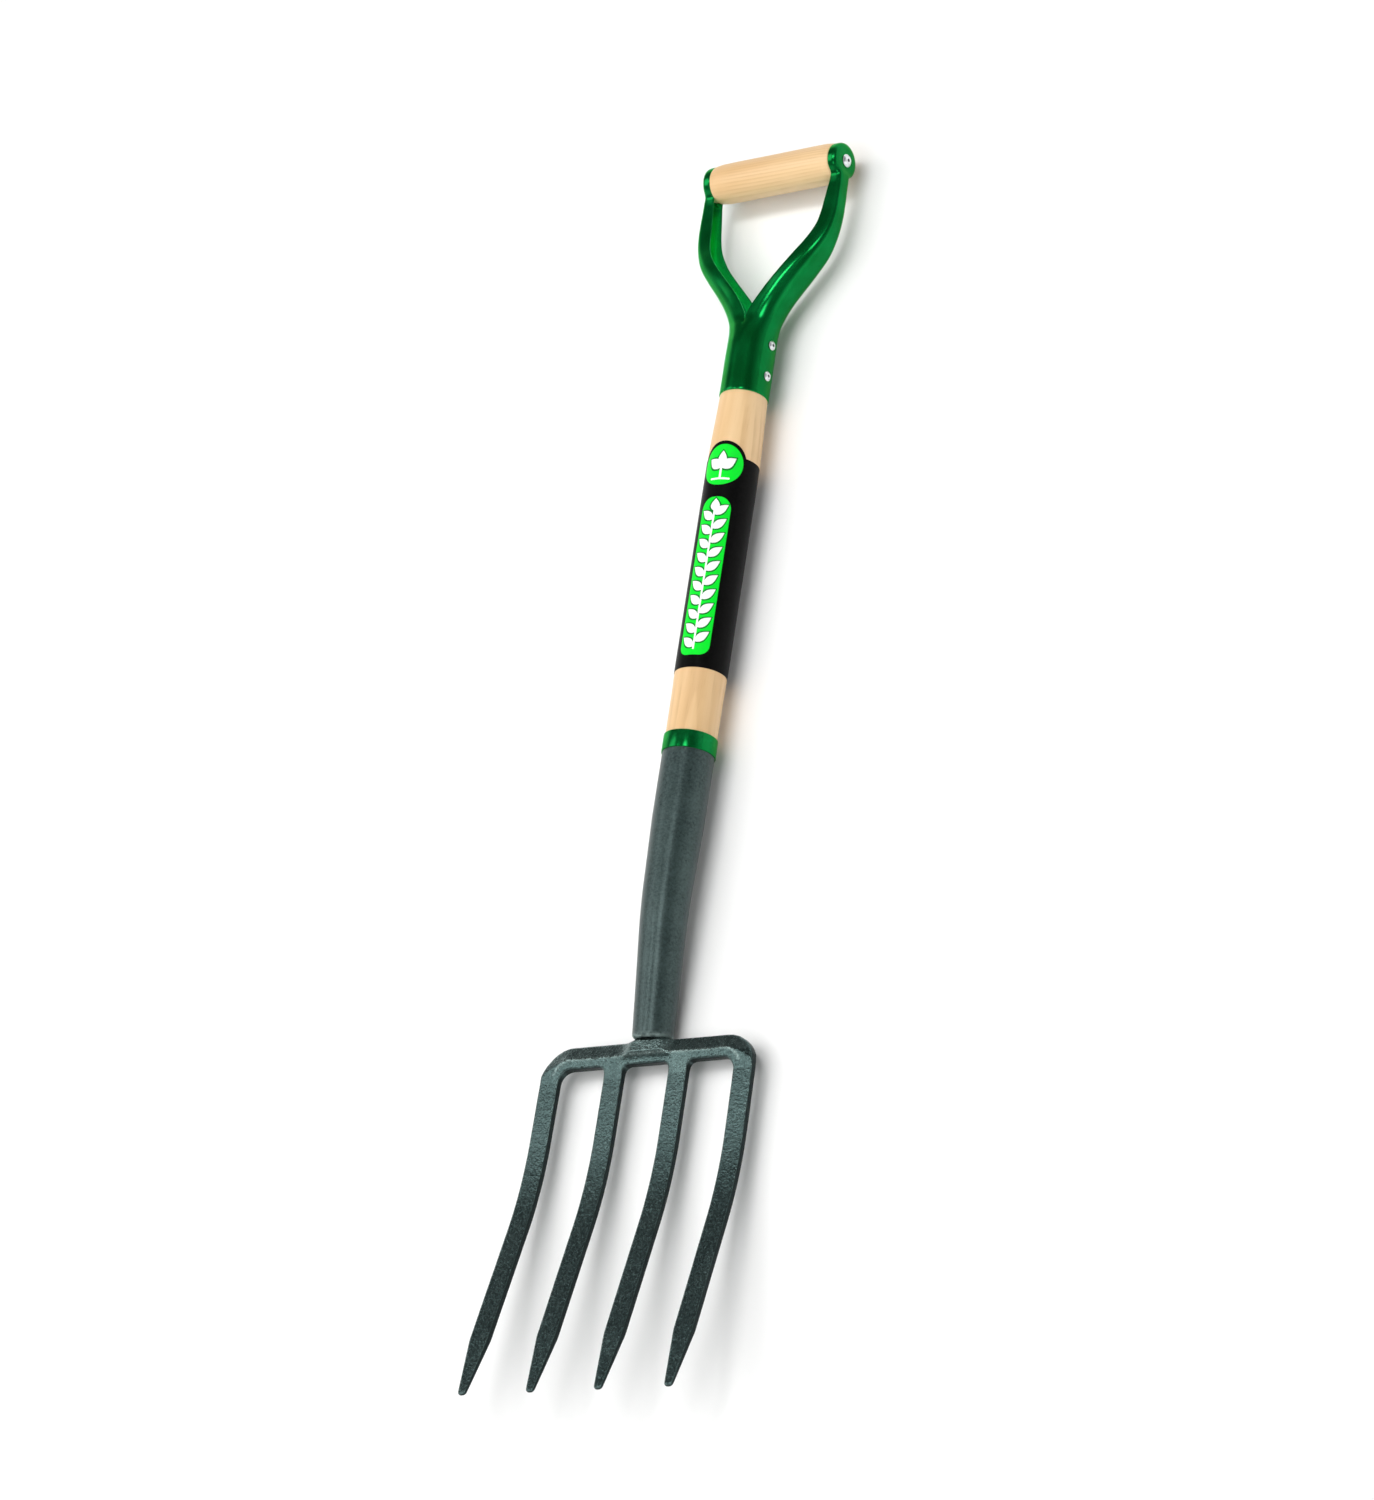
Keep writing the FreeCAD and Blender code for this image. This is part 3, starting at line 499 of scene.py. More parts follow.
def make_head():
    """Crossbar, tines and neck: where a front and a side view meet, meshed flat, then bent."""
    # samples are closer together at the tips and the crossbar
    close, apart = 0.8, 1.9
    across = np.arange(-103.0, 103.01, close)
    spans = (-2.4, 14.0, close), (14.0, 238.0, apart), (238.0, 296.0, close)
    length = np.concatenate([np.arange(start, end, step) for start, end, step in spans])
    front = np.arange(-16.5, 14.6, 0.75)
    outline = polygon_distance(across[:, None], length[None, :], head_outline())
    side = polygon_distance(length[:, None], front[None, :], head_side())
    top, ridge = float(flat_length(BAR_TOP)), float(flat_length(BAR_RIDGE))
    shoulders = soften([(-HALF_BAR, 0.0, 0.0), (HALF_BAR, 0.0, 0.0), (HALF_BAR, top, BAR_SHOULDER),
                        (-HALF_BAR, top, BAR_SHOULDER)], 0, 12, closed=True)
    inward = -polygon_distance(across[:, None], length[None, :], shoulders)

    def sample(table, first, second, a, b):
        """Values of a table between its samples."""
        i = np.clip(np.searchsorted(first, a) - 1, 0, len(first) - 2)
        j = np.clip(np.searchsorted(second, b) - 1, 0, len(second) - 2)
        u = (a - first[i]) / (first[i + 1] - first[i])
        v = (b - second[j]) / (second[j + 1] - second[j])
        low = table[i, j] * (1 - v) + table[i, j + 1] * v
        high = table[i + 1, j] * (1 - v) + table[i + 1, j + 1] * v
        return low * (1 - u) + high * u

    def field(in_outline, in_side, inside, x, s, t):
        """Signed distance to both views' rounded meeting, bevelled in front, with the flat neck."""
        rounding, blend = 1.35, 8.0
        waves = 0.35 * np.sin(0.13 * x + 1.0) + 0.2 * np.sin(0.37 * x)
        fade = np.clip((s - ridge + 20.0) / 22.0, 0, 1)
        bevel = t - BAR_FRONT + 0.29 * np.maximum(0.0, top - ridge + waves - inside) * fade
        a, b = in_outline + rounding, np.maximum(in_side, bevel) + rounding
        bar = np.hypot(np.maximum(a, 0), np.maximum(b, 0)) + np.minimum(np.maximum(a, b), 0)
        bar = bar - rounding
        wide = NECK_HALF_WIDTH + NECK_FLARE * np.clip((top + 4.5 - s) / 6.0, 0, 1) ** 2
        deep = NECK_HALF_DEPTH + 0.16 * np.clip(s - ridge, 0, 20)
        neck = np.hypot(np.maximum(np.abs(x) - wide + deep, 0), t + 0.4 + 0.1 * (s - top)) - deep
        neck = np.maximum(neck, np.maximum(top - 8.0 - s, s - top - 12.0))
        mixed = np.clip(0.5 + 0.5 * (neck - bar) / blend, 0, 1)
        return neck * (1 - mixed) + bar * mixed - blend * mixed * (1 - mixed)

    grid = field(outline[:, :, None], side[None, :, :], inward[:, :, None],
                 across[:, None, None], length[None, :, None], front[None, None, :])
    points, faces = surface_net(grid, (across, length, front))

    def exact(p):
        x, s, t = p.T
        return field(sample(outline, across, length, x, s), sample(side, length, front, s, t),
                     sample(inward, across, length, x, s), x, s, t)

    # the points are drawn onto the exact surface
    nudge = 0.05
    for _ in range(3):
        here = exact(points)
        slope = np.stack([(exact(points + step) - here) / nudge for step in np.eye(3) * nudge], 1)
        points -= slope * (here / np.maximum((slope ** 2).sum(1), 0.25))[:, None]
    # painted highlights: paler along the ridge of the crossbar and on its bevel, and on the rounded
    # edges, where it is also worn paint
    x, s, t = points.T
    a = sample(outline, across, length, x, s)
    b = sample(side, length, front, s, t)
    corner = np.exp(-((a - b) / 0.9) ** 2) * (np.maximum(a, b) > -1.2)
    inside = sample(inward, across, length, x, s)
    crest = np.exp(-((inside - top + ridge) / 0.9) ** 2) * (t > 3.2) * (s > ridge - 18)
    slope /= np.linalg.norm(slope, axis=1, keepdims=True)
    on_bevel = (inside < top - ridge) * (t > 0) * (s > ridge - 2)
    bevel = np.clip(on_bevel * (slope[:, 2] - 0.6) / 0.3, 0, 1)
    light_and_wear_marks = np.clip(0.25 * corner + 0.8 * crest + 0.35 * bevel, 0, 1)
    # painted shade: darker on side faces and under the bar
    facing = np.maximum(np.abs(slope[:, 0]), -slope[:, 1]) * ((s < ridge) | (np.abs(x) > 30))
    shade = np.clip((facing - 0.55) / 0.35, 0, 1)
    return piece("forged_head", bent(points), faces, "fork_head", [slate],
                 light_and_wear_marks=light_and_wear_marks, shade=shade)


# -------- ferrule, collar, pin

CRANK_LEVEL, CRANK_RADIUS, CRANK_ANGLE = 378.0, 400.0, math.radians(5.7)
PIN_LEVEL = 470.0


def crank(level):
    """Drop behind the handle's axis and slope of the ferrule's axis at a level."""
    angle, radius = CRANK_ANGLE, CRANK_RADIUS
    start = CRANK_LEVEL + radius * math.tan(angle / 2)
    end = start - radius * math.sin(angle)
    if level >= start:
        return 0.0, 0.0
    if level > end:
        slope = math.asin((start - level) / radius)
        return radius * (1 - math.cos(slope)), slope
    return radius * (1 - math.cos(angle)) + (end - level) * math.tan(angle), angle


def make_ferrule():
    """Cranked, tapered tube; its lower rim is rounded and leans forward over the neck."""
    top, taper, low = 505.0, 448.0, 278.6
    wide, narrow, wall, rim = 19.75, 15.4, 1.7, 3.2
    lean, lean_reach = 0.07, 40
    segments = 112

    def outside(level):
        return wide - (wide - narrow) * max(0.0, taper - level) / (taper - low)

    profile = [(top, wide - 1.6), (top, wide - 0.4), (504.6, wide)]
    profile += [(level, outside(level)) for level in np.linspace(500.0, low + 4.5, 64)]
    for turn in np.radians(np.linspace(0, 90, 8)):
        profile.append((low + rim - rim * math.sin(turn),
                        narrow - rim + rim * math.cos(turn) + 0.08))
    profile += [(low + 0.4, narrow - 3.8), (low + 3.0, narrow - 4.0)]
    profile += [(level, outside(level) - wall) for level in np.linspace(low + 12.0, 498.0, 16)]
    turn = np.linspace(0, 2 * math.pi, segments, endpoint=False)
    rings = []
    for level, radius in profile:
        drop, slope = crank(level)
        sideways, forward = radius * np.sin(turn), radius * np.cos(turn)
        tilt = slope + lean * max(0.0, 1 - (level - low) / lean_reach)
        rings.append(np.stack([sideways, level - forward * math.sin(tilt),
                               forward * math.cos(slope) - drop], 1))
    points = np.concatenate(rings)
    faces = grid_faces(len(rings), segments, wrap_rows=True, wrap_columns=True, flip=True)
    levels = np.repeat([level for level, _ in profile], segments)
    # painted highlight along the rounded lower rim
    light_and_wear_marks = 0.9 * np.exp(-((levels - low - 1.2) / 1.6) ** 2)
    return close_mesh(piece("ferrule_tube", points, faces, "ferrule",
                            [slate_smooth], light_and_wear_marks=light_and_wear_marks))


def turned_piece(name, profile, node, material, along="level", centre=(0, 0, 0), segments=96,
                 sharp=40, wear=None):
    """A piece turned from a profile; the last argument gives each of its points a share of painted
    light: a highlight on the collar's edge, shade in the rivets' dimples.
    """
    points, faces = lathe(profile, along, centre, segments)
    light_and_wear_marks = None
    if wear is not None:
        light_and_wear_marks = np.repeat(wear(np.asarray(profile)), segments)
    return close_mesh(piece(name, points, faces, node, [material], sharp=sharp, light_and_wear_marks=light_and_wear_marks))


def make_shaft():
    """Turned shaft: seat in the ferrule, swollen middle, and a top that narrows inside the yoke."""
    seat = [(386.0, 16.0), (444.0, 18.0), (505.0, 18.1)]
    swell = [(505.0, 19.5), (514.0, 19.5), (530.0, 19.55), (546.0, 19.6), (562.0, 19.95),
             (578.0, 20.0), (740.0, 20.0), (750.0, 19.85), (760.0, 19.55), (771.0, 19.1),
             (782.0, 18.75), (794.0, 18.42)]
    in_yoke = [(796.0, 17.6), (836.0, 17.5), (844.0, 15.2), (849.0, 12.6)]
    levels = seat + swell + in_yoke
    profile = [(levels[0][0], 0.0)]
    for (a, ra), (b, rb) in zip(levels, levels[1:]):
        steps = max(1, int((b - a) / 4))
        profile += [(a + (b - a) * k / steps, ra + (rb - ra) * k / steps) for k in range(steps)]
    profile += [levels[-1], (levels[-1][0], 0.0)]
    return turned_piece("ash_shaft", profile[::-1], "shaft", ash, segments=128)


def make_collar():
    """Ring over the step between ferrule and shaft."""
    low, top, outer, on_shaft, on_ferrule = 499.5, 513.5, 20.6, 19.55, 19.8
    corners = [(top - 4.0, on_shaft), (top, on_shaft, 0.2), (top, outer, 0.9), (low, outer, 0.7),
               (low, on_ferrule, 0.2), (low + 4.0, on_ferrule)]
    profile = soften(corners, 0.3, 5)
    profile = np.concatenate([profile, profile[:1]])
    # painted highlight along the collar's top edge
    return turned_piece("collar_ring", profile, "collar", green, segments=112,
                        wear=lambda p: 0.5 * np.exp(-((p[:, 0] - top) / 0.8) ** 2))


def make_pin():
    """Pin with a round head that stands proud of the ferrule's back."""
    profile = soften([(0.0, 0.0), (0.85, 0.0), (0.65, 2.2, 1.0), (-0.3, 3.1), (-0.3, 1.9),
                      (-6.0, 1.9, 0), (-6.0, 0.0)], 0.3, 4)
    points, faces = lathe(profile, "across", segments=40)
    # the lathe's axis is turned from across to backwards
    points = points[:, [1, 2, 0]] * np.array([1.0, 1.0, -1.0]) + np.array([0.0, PIN_LEVEL, -19.70])
    return close_mesh(piece("ferrule_pin_head", points, faces, "ferrule_pin",
                            [zinc_steel], sharp=50))


# -------- label

LABEL_LOW, LABEL_TOP, LABEL_RADIUS, LABEL_TURN = 563.6, 737.6, 20.25, math.radians(12.4)
FILM = 0.22
PANEL_LOW, PANEL_TOP, PANEL_HALF = 573.5, 703.5, 12.6
BRANCH_LOW, LEAF_PAIRS, LEAF_SPACING = 580.0, 10, 11.6
BADGE_LEVEL, BADGE_RADIUS, BADGE_RING = 730.4, 17.0, 19.9
BLACK, BRIGHT, DEEP, WHITE = range(4)   # the label's material slots


def circle(level, radius, count):
    turn = np.linspace(0, 2 * math.pi, count, endpoint=False)
    return np.stack([radius * np.cos(turn), level + radius * np.sin(turn)], 1)


def leaf(x, y, direction, length, width, swell=1.0):
    """A pointed leaf from (x, y) in a direction in degrees; swell enlarges it."""
    turn = math.radians(direction)
    share = np.linspace(0, 1, 9)
    bulge = width / 2 * np.sin(math.pi * share ** 0.8)
    along = np.concatenate([share, share[-2:0:-1]]) * length
    across = np.concatenate([bulge, -bulge[-2:0:-1]])
    middle = np.array([along.mean(), 0.0])
    scale = np.array([1 + (swell - 1) * width / length, swell])
    shape = (np.stack([along, across], 1) - middle) * scale + middle
    turned = shape @ np.array([[math.cos(turn), math.sin(turn)], [-math.sin(turn), math.cos(turn)]])
    return turned + np.array([x, y])


def bar_shape(low, high, half):
    return np.array([(-half, low), (half, low), (half, high), (-half, high)])


def make_label():
    """Printed film: black, with a leafy branch on a green panel and a sprout on a round badge."""
    half_turn = math.pi * LABEL_RADIUS - 0.15
    rise = LABEL_TOP - BADGE_LEVEL
    reach = math.sqrt(BADGE_RING ** 2 - rise ** 2)
    start = math.atan2(rise, reach)
    tab = [(BADGE_RING * math.cos(t), BADGE_LEVEL + BADGE_RING * math.sin(t))
           for t in np.linspace(start, math.pi - start, 33)]
    boundary = np.array([(-half_turn, LABEL_LOW), (half_turn, LABEL_LOW), (half_turn, LABEL_TOP),
                         *tab, (-half_turn, LABEL_TOP)])
    panel = soften([(-PANEL_HALF, PANEL_LOW, 8.0), (PANEL_HALF, PANEL_LOW, 8.0),
                    (PANEL_HALF, PANEL_TOP, 10.5), (-PANEL_HALF, PANEL_TOP, 10.5)], 0, 10,
                   closed=True)
    # later regions are printed over earlier ones
    regions = [(panel, BRIGHT), (circle(BADGE_LEVEL, BADGE_RADIUS, 72), BRIGHT)]
    leaves = []
    for number in range(LEAF_PAIRS):
        level = BRANCH_LOW + LEAF_SPACING * number
        for side in (-1, 1):
            leaves.append((0.4 * side, level + 4.2 * (side > 0), 90 - side * 50, 13.2, 6.6))
    leaves.append((0.0, 691.5, 90, 10.5, 7.4))
    leaves += [(0.3, BADGE_LEVEL - 3.0, 38, 13.5, 8.4), (-0.3, BADGE_LEVEL - 3.0, 142, 13.5, 8.4),
               (0.0, BADGE_LEVEL - 1.0, 90, 12.5, 7.0)]
    ground = bar_shape(BADGE_LEVEL - 12.6, BADGE_LEVEL - 11.0, 8.0)
    stems = [bar_shape(578.0, 694.0, 0.75), bar_shape(BADGE_LEVEL - 12.0, BADGE_LEVEL + 1.0, 0.9),
             soften(ground, 0.7, 3, closed=True)]
    regions += [(leaf(*values, swell=1.38), DEEP) for values in leaves]
    regions += [(leaf(*values), WHITE) for values in leaves] + [(stem, WHITE) for stem in stems]
    corners, edges = [], []
    for polygon in [boundary] + [polygon for polygon, _ in regions]:
        first = len(corners)
        corners += [Vector(point) for point in polygon]
        count = len(polygon)
        edges += [(first + k, first + (k + 1) % count) for k in range(count)]
    outer = [list(range(len(boundary)))]
    # upright lines let the flat film bend round the shaft
    for x in np.linspace(-half_turn, half_turn, 97)[1:-1]:
        top = LABEL_TOP
        if abs(x) < reach:
            top = BADGE_LEVEL + math.sqrt(BADGE_RING ** 2 - x * x)
        corners += [Vector((x, LABEL_LOW + 1e-4)), Vector((x, top - 1e-4))]
        edges.append((len(corners) - 2, len(corners) - 1))
    flat, _, faces, *_ = delaunay_2d_cdt(corners, edges, outer, 1, 1e-5)
    flat = np.array([tuple(point) for point in flat])
    faces = [face for face in faces if len(face) >= 3]
    middles = np.array([flat[list(face)].mean(0) for face in faces])
    ink = np.full(len(faces), BLACK)
    for polygon, colour in regions:
        ink[polygon_distance(middles[:, 0], middles[:, 1], polygon) < 0] = colour
    turn = LABEL_TURN + flat[:, 0] / LABEL_RADIUS
    skins = [np.stack([radius * np.sin(turn), flat[:, 1], radius * np.cos(turn)], 1)
             for radius in (LABEL_RADIUS, LABEL_RADIUS - FILM)]
    # the film's back and its thin edge are black
    count = len(flat)
    steps = {(a, b) for face in faces for a, b in zip(face, [*face[1:], face[0]])}
    rim = [(b, a, a + count, b + count) for a, b in sorted(steps) if (b, a) not in steps]
    back = [[v + count for v in face[::-1]] for face in faces]
    ink = np.concatenate([ink, np.full(len(back) + len(rim), BLACK)])
    return piece("printed_label", np.concatenate(skins), [*faces, *back, *rim], "label",
                 [film_black, film_green, film_deep, film_white], sharp=40,
                 face_materials=ink)


# -------- yoke

YOKE_WALL, SLEEVE_RADIUS = 1.5, 19.1
EYE_LEVEL, EYE_RADIUS, EYE_FACE, EYE_RIM = 988.2, 14.7, 64.2, 57.0
ROW_COLUMNS, ROW_STEP = 45, 1.8
EYE_STEPS, LIP_STEPS = 26, 6
# share of painted light on the inner faces of the channels
PAINTED_INNER_LIGHT = 0.85
# one arm from sleeve to eye: outer web (x, level), open inner edge (x, level), half depth and
# squareness
ARM = np.array([
    (SLEEVE_RADIUS, 795.0, 0.0, 795.0, SLEEVE_RADIUS, 1.00),
    (SLEEVE_RADIUS, 812.0, 0.0, 812.0, SLEEVE_RADIUS, 1.00),
    (SLEEVE_RADIUS, 828.0, 0.0, 828.0, SLEEVE_RADIUS, 1.00),
    (SLEEVE_RADIUS, 838.0, 0.0, 838.5, 18.8, 1.00),
    (19.9, 850.0, 0.0, 851.0, 16.6, 0.98), (21.2, 856.0, 0.0, 857.6, 14.9, 0.96),
    (23.2, 861.6, 3.7, 865.5, 14.7, 0.92), (28.7, 871.9, 13.0, 879.5, 14.6, 0.86),
    (36.9, 883.8, 24.9, 893.5, 14.8, 0.78), (47.8, 897.7, 37.3, 908.0, 13.8, 0.70),
    (56.7, 910.2, 45.0, 918.5, 11.9, 0.62), (62.9, 924.7, 50.6, 931.0, 9.0, 0.54),
    (65.9, 940.2, 52.9, 943.0, 7.4, 0.50), (66.3, 953.0, 54.1, 954.0, 6.9, 0.48),
    (66.1, 963.0, 55.2, 963.5, 6.6, 0.46), (65.9, 971.0, 56.2, 971.2, 6.6, 0.44),
    (65.4, 976.0, 56.8, 976.2, 7.4, 0.42), (EYE_FACE, 981.0, EYE_RIM, 981.0, 12.8, 0.36),
    (EYE_FACE, 984.6, EYE_RIM, 984.6, 14.2, 0.32),
    (EYE_FACE, EYE_LEVEL, EYE_RIM, EYE_LEVEL, EYE_RADIUS, 0.30)])


def smooth_rows(table, per_span):
    """Rows between the given rows, on a smooth curve through them."""
    count = len(table)
    gaps = np.linalg.norm(np.diff(table[:, :2], axis=0), axis=1)
    slopes = np.gradient(table, np.concatenate([[0], np.cumsum(gaps)]), axis=0)
    rows = []
    for k in range(count - 1):
        steps = max(2, int(round(gaps[k] / per_span)))
        for u in np.arange(steps) / steps:
            h00, h10 = (1 + 2 * u) * (1 - u) ** 2, u * (1 - u) ** 2
            h01, h11 = u * u * (3 - 2 * u), u * u * (u - 1)
            rows.append(h00 * table[k] + h10 * gaps[k] * slopes[k]
                        + h01 * table[k + 1] + h11 * gaps[k] * slopes[k + 1])
    rows.append(table[-1])
    return np.array(rows)


def channel_row(values, columns):
    """Middle line of the channel's wall across one row, evenly spaced from front to back lip."""
    outer_x, outer_y, inner_x, inner_y, depth, squareness = values
    outer, inner = np.array([outer_x, outer_y]), np.array([inner_x, inner_y])
    width = np.linalg.norm(outer - inner)
    along = (outer - inner) / width
    web = min(width - 0.05, depth * 1.05) - YOKE_WALL / 2
    half = depth - YOKE_WALL / 2
    flat = width - YOKE_WALL / 2 - web
    turn = np.linspace(math.pi / 2, -math.pi / 2, 181)
    out = flat + web * np.abs(np.cos(turn)) ** squareness
    rise = half * np.sign(np.sin(turn)) * np.abs(np.sin(turn)) ** squareness
    out = np.concatenate([[0.0], out, [0.0]])
    rise = np.concatenate([[half], rise, [-half]])
    run = np.concatenate([[0], np.cumsum(np.hypot(np.diff(out), np.diff(rise)))])
    even = np.linspace(0, run[-1], columns)
    out, rise = np.interp(even, run, out), np.interp(even, run, rise)
    line = inner[None, :] + out[:, None] * along[None, :]
    return np.stack([line[:, 0], line[:, 1], rise], 1)


def yoke_surface():
    """Right half's middle surface: rows up to the eye, the rows that close it, the normals,
    and which rows join the other half."""
    rows = smooth_rows(ARM, ROW_STEP)
    middle = np.array([channel_row(values, ROW_COLUMNS) for values in rows])
    # the cup closes over the eye: the last row's front half is swung round to its back half
    front_half = middle[-1, : ROW_COLUMNS // 2 + 1]
    fans = []
    for turn in np.linspace(0, math.pi, EYE_STEPS + 1)[1:-1]:
        swung = front_half.copy()
        arm = front_half[:, 2]
        swung[:, 1] = EYE_LEVEL + arm * math.sin(turn)
        swung[:, 2] = arm * math.cos(turn)
        fans.append(swung)
    joined = rows[:, 2] < 0.01
    # front and back crease where the two arms part
    crease_start, crease_run, crease_half_width, crease_depth = 843.0, 12.0, 1.7, 0.5
    level, across = middle[..., 1], middle[..., 0]
    crease = np.clip((level - crease_start) / crease_run, 0, 1) ** 1.5
    crease = crease * np.exp(-(across / crease_half_width) ** 2)
    middle[..., 2] -= np.sign(middle[..., 2]) * crease_depth * crease
    # normals from the grid itself, turned outwards: on the sleeve the web faces right
    normal = np.cross(np.gradient(middle, axis=1), np.gradient(middle, axis=0))
    normal /= np.linalg.norm(normal, axis=2, keepdims=True)
    if normal[5, ROW_COLUMNS // 2, 0] < 0:
        normal = -normal
    # where the halves join the wall faces straight forward or back, to meet without a kink
    normal[joined, 0] = normal[joined, 0] * np.array([0, 1, 1])
    normal[joined, 0] /= np.linalg.norm(normal[joined, 0], axis=1, keepdims=True)
    return middle, fans, normal, joined


def make_yoke():
    """Pressed sheet: sleeve, two channel arms and two cupped eyes, with rounded lips."""
    middle, fans, normal, joined = yoke_surface()
    half = YOKE_WALL / 2
    count = len(middle)
    points, faces, light_and_wear_marks, painted_inner_light = [], [], [], []

    def add(values, highlight_share=0.0, lit_inside_share=0.0):
        """Adds points and gives their numbers."""
        first = len(points)
        points.extend(np.asarray(values).tolist())
        light_and_wear_marks.extend([highlight_share] * len(values))
        painted_inner_light.extend([lit_inside_share] * len(values))
        return np.arange(first, first + len(values))

    outside = [add(middle[i] + normal[i] * half) for i in range(count)]
    # the inside skin carries painted light
    inside = [add(middle[i] - normal[i] * half, lit_inside_share=PAINTED_INNER_LIGHT) for i in range(count)]
    # fan over the eye
    mid = ROW_COLUMNS // 2
    fan_out, fan_in, fan_normals = [], [], []
    last_normal = normal[-1, : mid + 1]
    for number, fan in enumerate(fans):
        turn = math.pi * (number + 1) / (len(fans) + 1)
        swung = last_normal.copy()
        swung[:, 1] = last_normal[:, 2] * math.sin(turn)
        swung[:, 2] = last_normal[:, 2] * math.cos(turn)
        fan_out.append(add(fan[:mid] + swung[:mid] * half))
        fan_in.append(add(fan[:mid] - swung[:mid] * half))
        fan_normals.append(swung[0])

    def strip(first, second, flip=False):
        for k in range(len(first) - 1):
            face = (first[k], first[k + 1], second[k + 1], second[k])
            faces.append(face[::-1] if flip else face)

    for i in range(count - 1):
        strip(outside[i], outside[i + 1])
        strip(inside[i], inside[i + 1], True)
    for skin, row, flip in ((fan_out, outside[-1], False), (fan_in, inside[-1], True)):
        pole = row[mid]
        chain = [row[:mid]] + skin + [row[: mid : -1]]
        for a, b in zip(chain, chain[1:]):
            strip(np.append(a, pole), np.append(b, pole), flip)

    def lip(i, edge, beside, closed=False):
        """One end of a row, for the rounded edge."""
        return (outside[i][edge], inside[i][edge], middle[i, edge], normal[i, edge],
                middle[i, edge] - middle[i, beside], closed)

    # rounded lips, with a painted highlight: up the front edge, over the eye, and down the back
    # edge
    path = [lip(i, 0, 1, joined[i]) for i in range(count)]
    path += [(outer[0], inner[0], fan[0], out, fan[0] - fan[1], False)
             for outer, inner, fan, out in zip(fan_out, fan_in, fans, fan_normals)]
    path += [lip(i, -1, -2) for i in reversed(range(count))]
    lip_turns = np.linspace(0, math.pi, LIP_STEPS + 1)[1:-1]
    previous = None
    for top, bottom, place, out, tangent, closed in path:
        tangent = tangent / np.linalg.norm(tangent)
        ring = [top]
        for turn in lip_turns:
            spot = place + half * (math.cos(turn) * out + math.sin(turn) * tangent)
            ring.append(int(add([spot], 0.7)[0]))
        ring.append(bottom)
        if previous is not None and not (closed and previous[1]):
            strip(previous[0], ring)
        previous = (ring, closed)
    # bottom edge of the sleeve, with a painted highlight
    bottom_ring = [outside[0]]
    downwards = np.array([0, -1.0, 0])
    for turn in lip_turns:
        spots = middle[0] + half * (math.cos(turn) * normal[0] + math.sin(turn) * downwards)
        bottom_ring.append(add(spots, 0.6))
    bottom_ring.append(inside[0])
    for a, b in zip(bottom_ring, bottom_ring[1:]):
        strip(b, a)
    # the left half is the right one mirrored
    total = len(points)
    points = np.array(points)
    points = np.concatenate([points, points * np.array([-1.0, 1.0, 1.0])])
    faces += [tuple(v + total for v in face[::-1]) for face in faces]
    item = piece("pressed_yoke", points, faces, "yoke", [green], light_and_wear_marks=light_and_wear_marks * 2,
                 shade=painted_inner_light * 2)
    close_mesh(item, largest_hole=60)
    item.data.shade_smooth()
    return item


# -------- cross grip and rivets

RIVET_LEVEL, RIVET_SPACING = 811.0, 26.0


def make_grip():
    """Turned barrel grip with stepped-down ends."""
    side = [(62.5, 0.0), (62.5, 12.9, 0.6), (57.0, 12.9, 0.5), (56.0, 14.8, 1.8), (49.0, 15.7, 9.0),
            (36.0, 15.8, 12.0), (0.0, 15.7)]
    profile = soften(side + [(-x, *rest) for x, *rest in side[-2::-1]], 1.0, 5)
    return turned_piece("turned_grip", profile, "cross_grip", ash_grip, "across",
                        (0, EYE_LEVEL, 0), 112)


def make_rivet(name, node, level, half, head, height, dimple):
    """Rivet with a domed, dimpled head at each end, which starts half away from the middle."""
    side = [(half - 1.0, head * 0.55), (half - 0.02, head * 0.60), (half - 0.02, head - 0.25, 0.2),
            (half + 0.45, head, 0.35), (half + height * 0.85, head * 0.66, 1.4),
            (half + height, dimple + 0.45, 0.6), (half + height - 0.25, dimple, 0.3),
            (half + height - 0.95, dimple * 0.85, 0.3), (half + height - 1.0, dimple * 0.35, 0.2),
            (half + height - 0.75, 0.0)]
    profile = soften(side, 0.2, 4)
    far = profile[::-1] * np.array([-1.0, 1.0])
    # painted shade: the dimples are painted near black
    return turned_piece(name, np.concatenate([far, profile])[::-1], node, zinc_steel,
                        "across", (0, level, 0), 48, sharp=60,
                        wear=lambda p: (p[:, 1] < dimple) * 1.0)


make_head()
make_ferrule()
make_shaft()
make_collar()
make_pin()
make_label()
make_yoke()
make_grip()
small = {"half": SLEEVE_RADIUS, "head": 3.9, "height": 1.8, "dimple": 1.1}
make_rivet("sleeve_rivet_lower", "yoke_rivet_lower", RIVET_LEVEL, **small)
make_rivet("sleeve_rivet_upper", "yoke_rivet_upper", RIVET_LEVEL + RIVET_SPACING, **small)
make_rivet("grip_rod", "grip_rivet", EYE_LEVEL, half=EYE_FACE, head=5.3, height=2.3, dimple=1.3)


# -------- floor, light and camera

def make_floor():
    """Wide sheet of paper just under the fork."""
    half = 9.0
    mesh = bpy.data.meshes.new("floor")
    mesh.from_pydata([(-half, -half, 0), (half, -half, 0), (half, half, 0), (-half, half, 0)], [],
                     [(0, 1, 2, 3)])
    mesh.materials.append(floor_paper("studio_paper"))
    floor = link(bpy.data.objects.new("floor", mesh))
    floor.location.z = -0.0005


def soft_box(name, place, size, power):
    """Area light aimed at the middle; gloss doesn't mirror it."""
    lamp = bpy.data.lights.new(name, "AREA")
    lamp.shape = "RECTANGLE"
    lamp.size, lamp.size_y = size
    lamp.energy = power
    item = link(bpy.data.objects.new(name, lamp))
    item.location = place
    item.rotation_euler = (-Vector(place)).to_track_quat("-Z", "Y").to_euler()
    item.visible_glossy = False


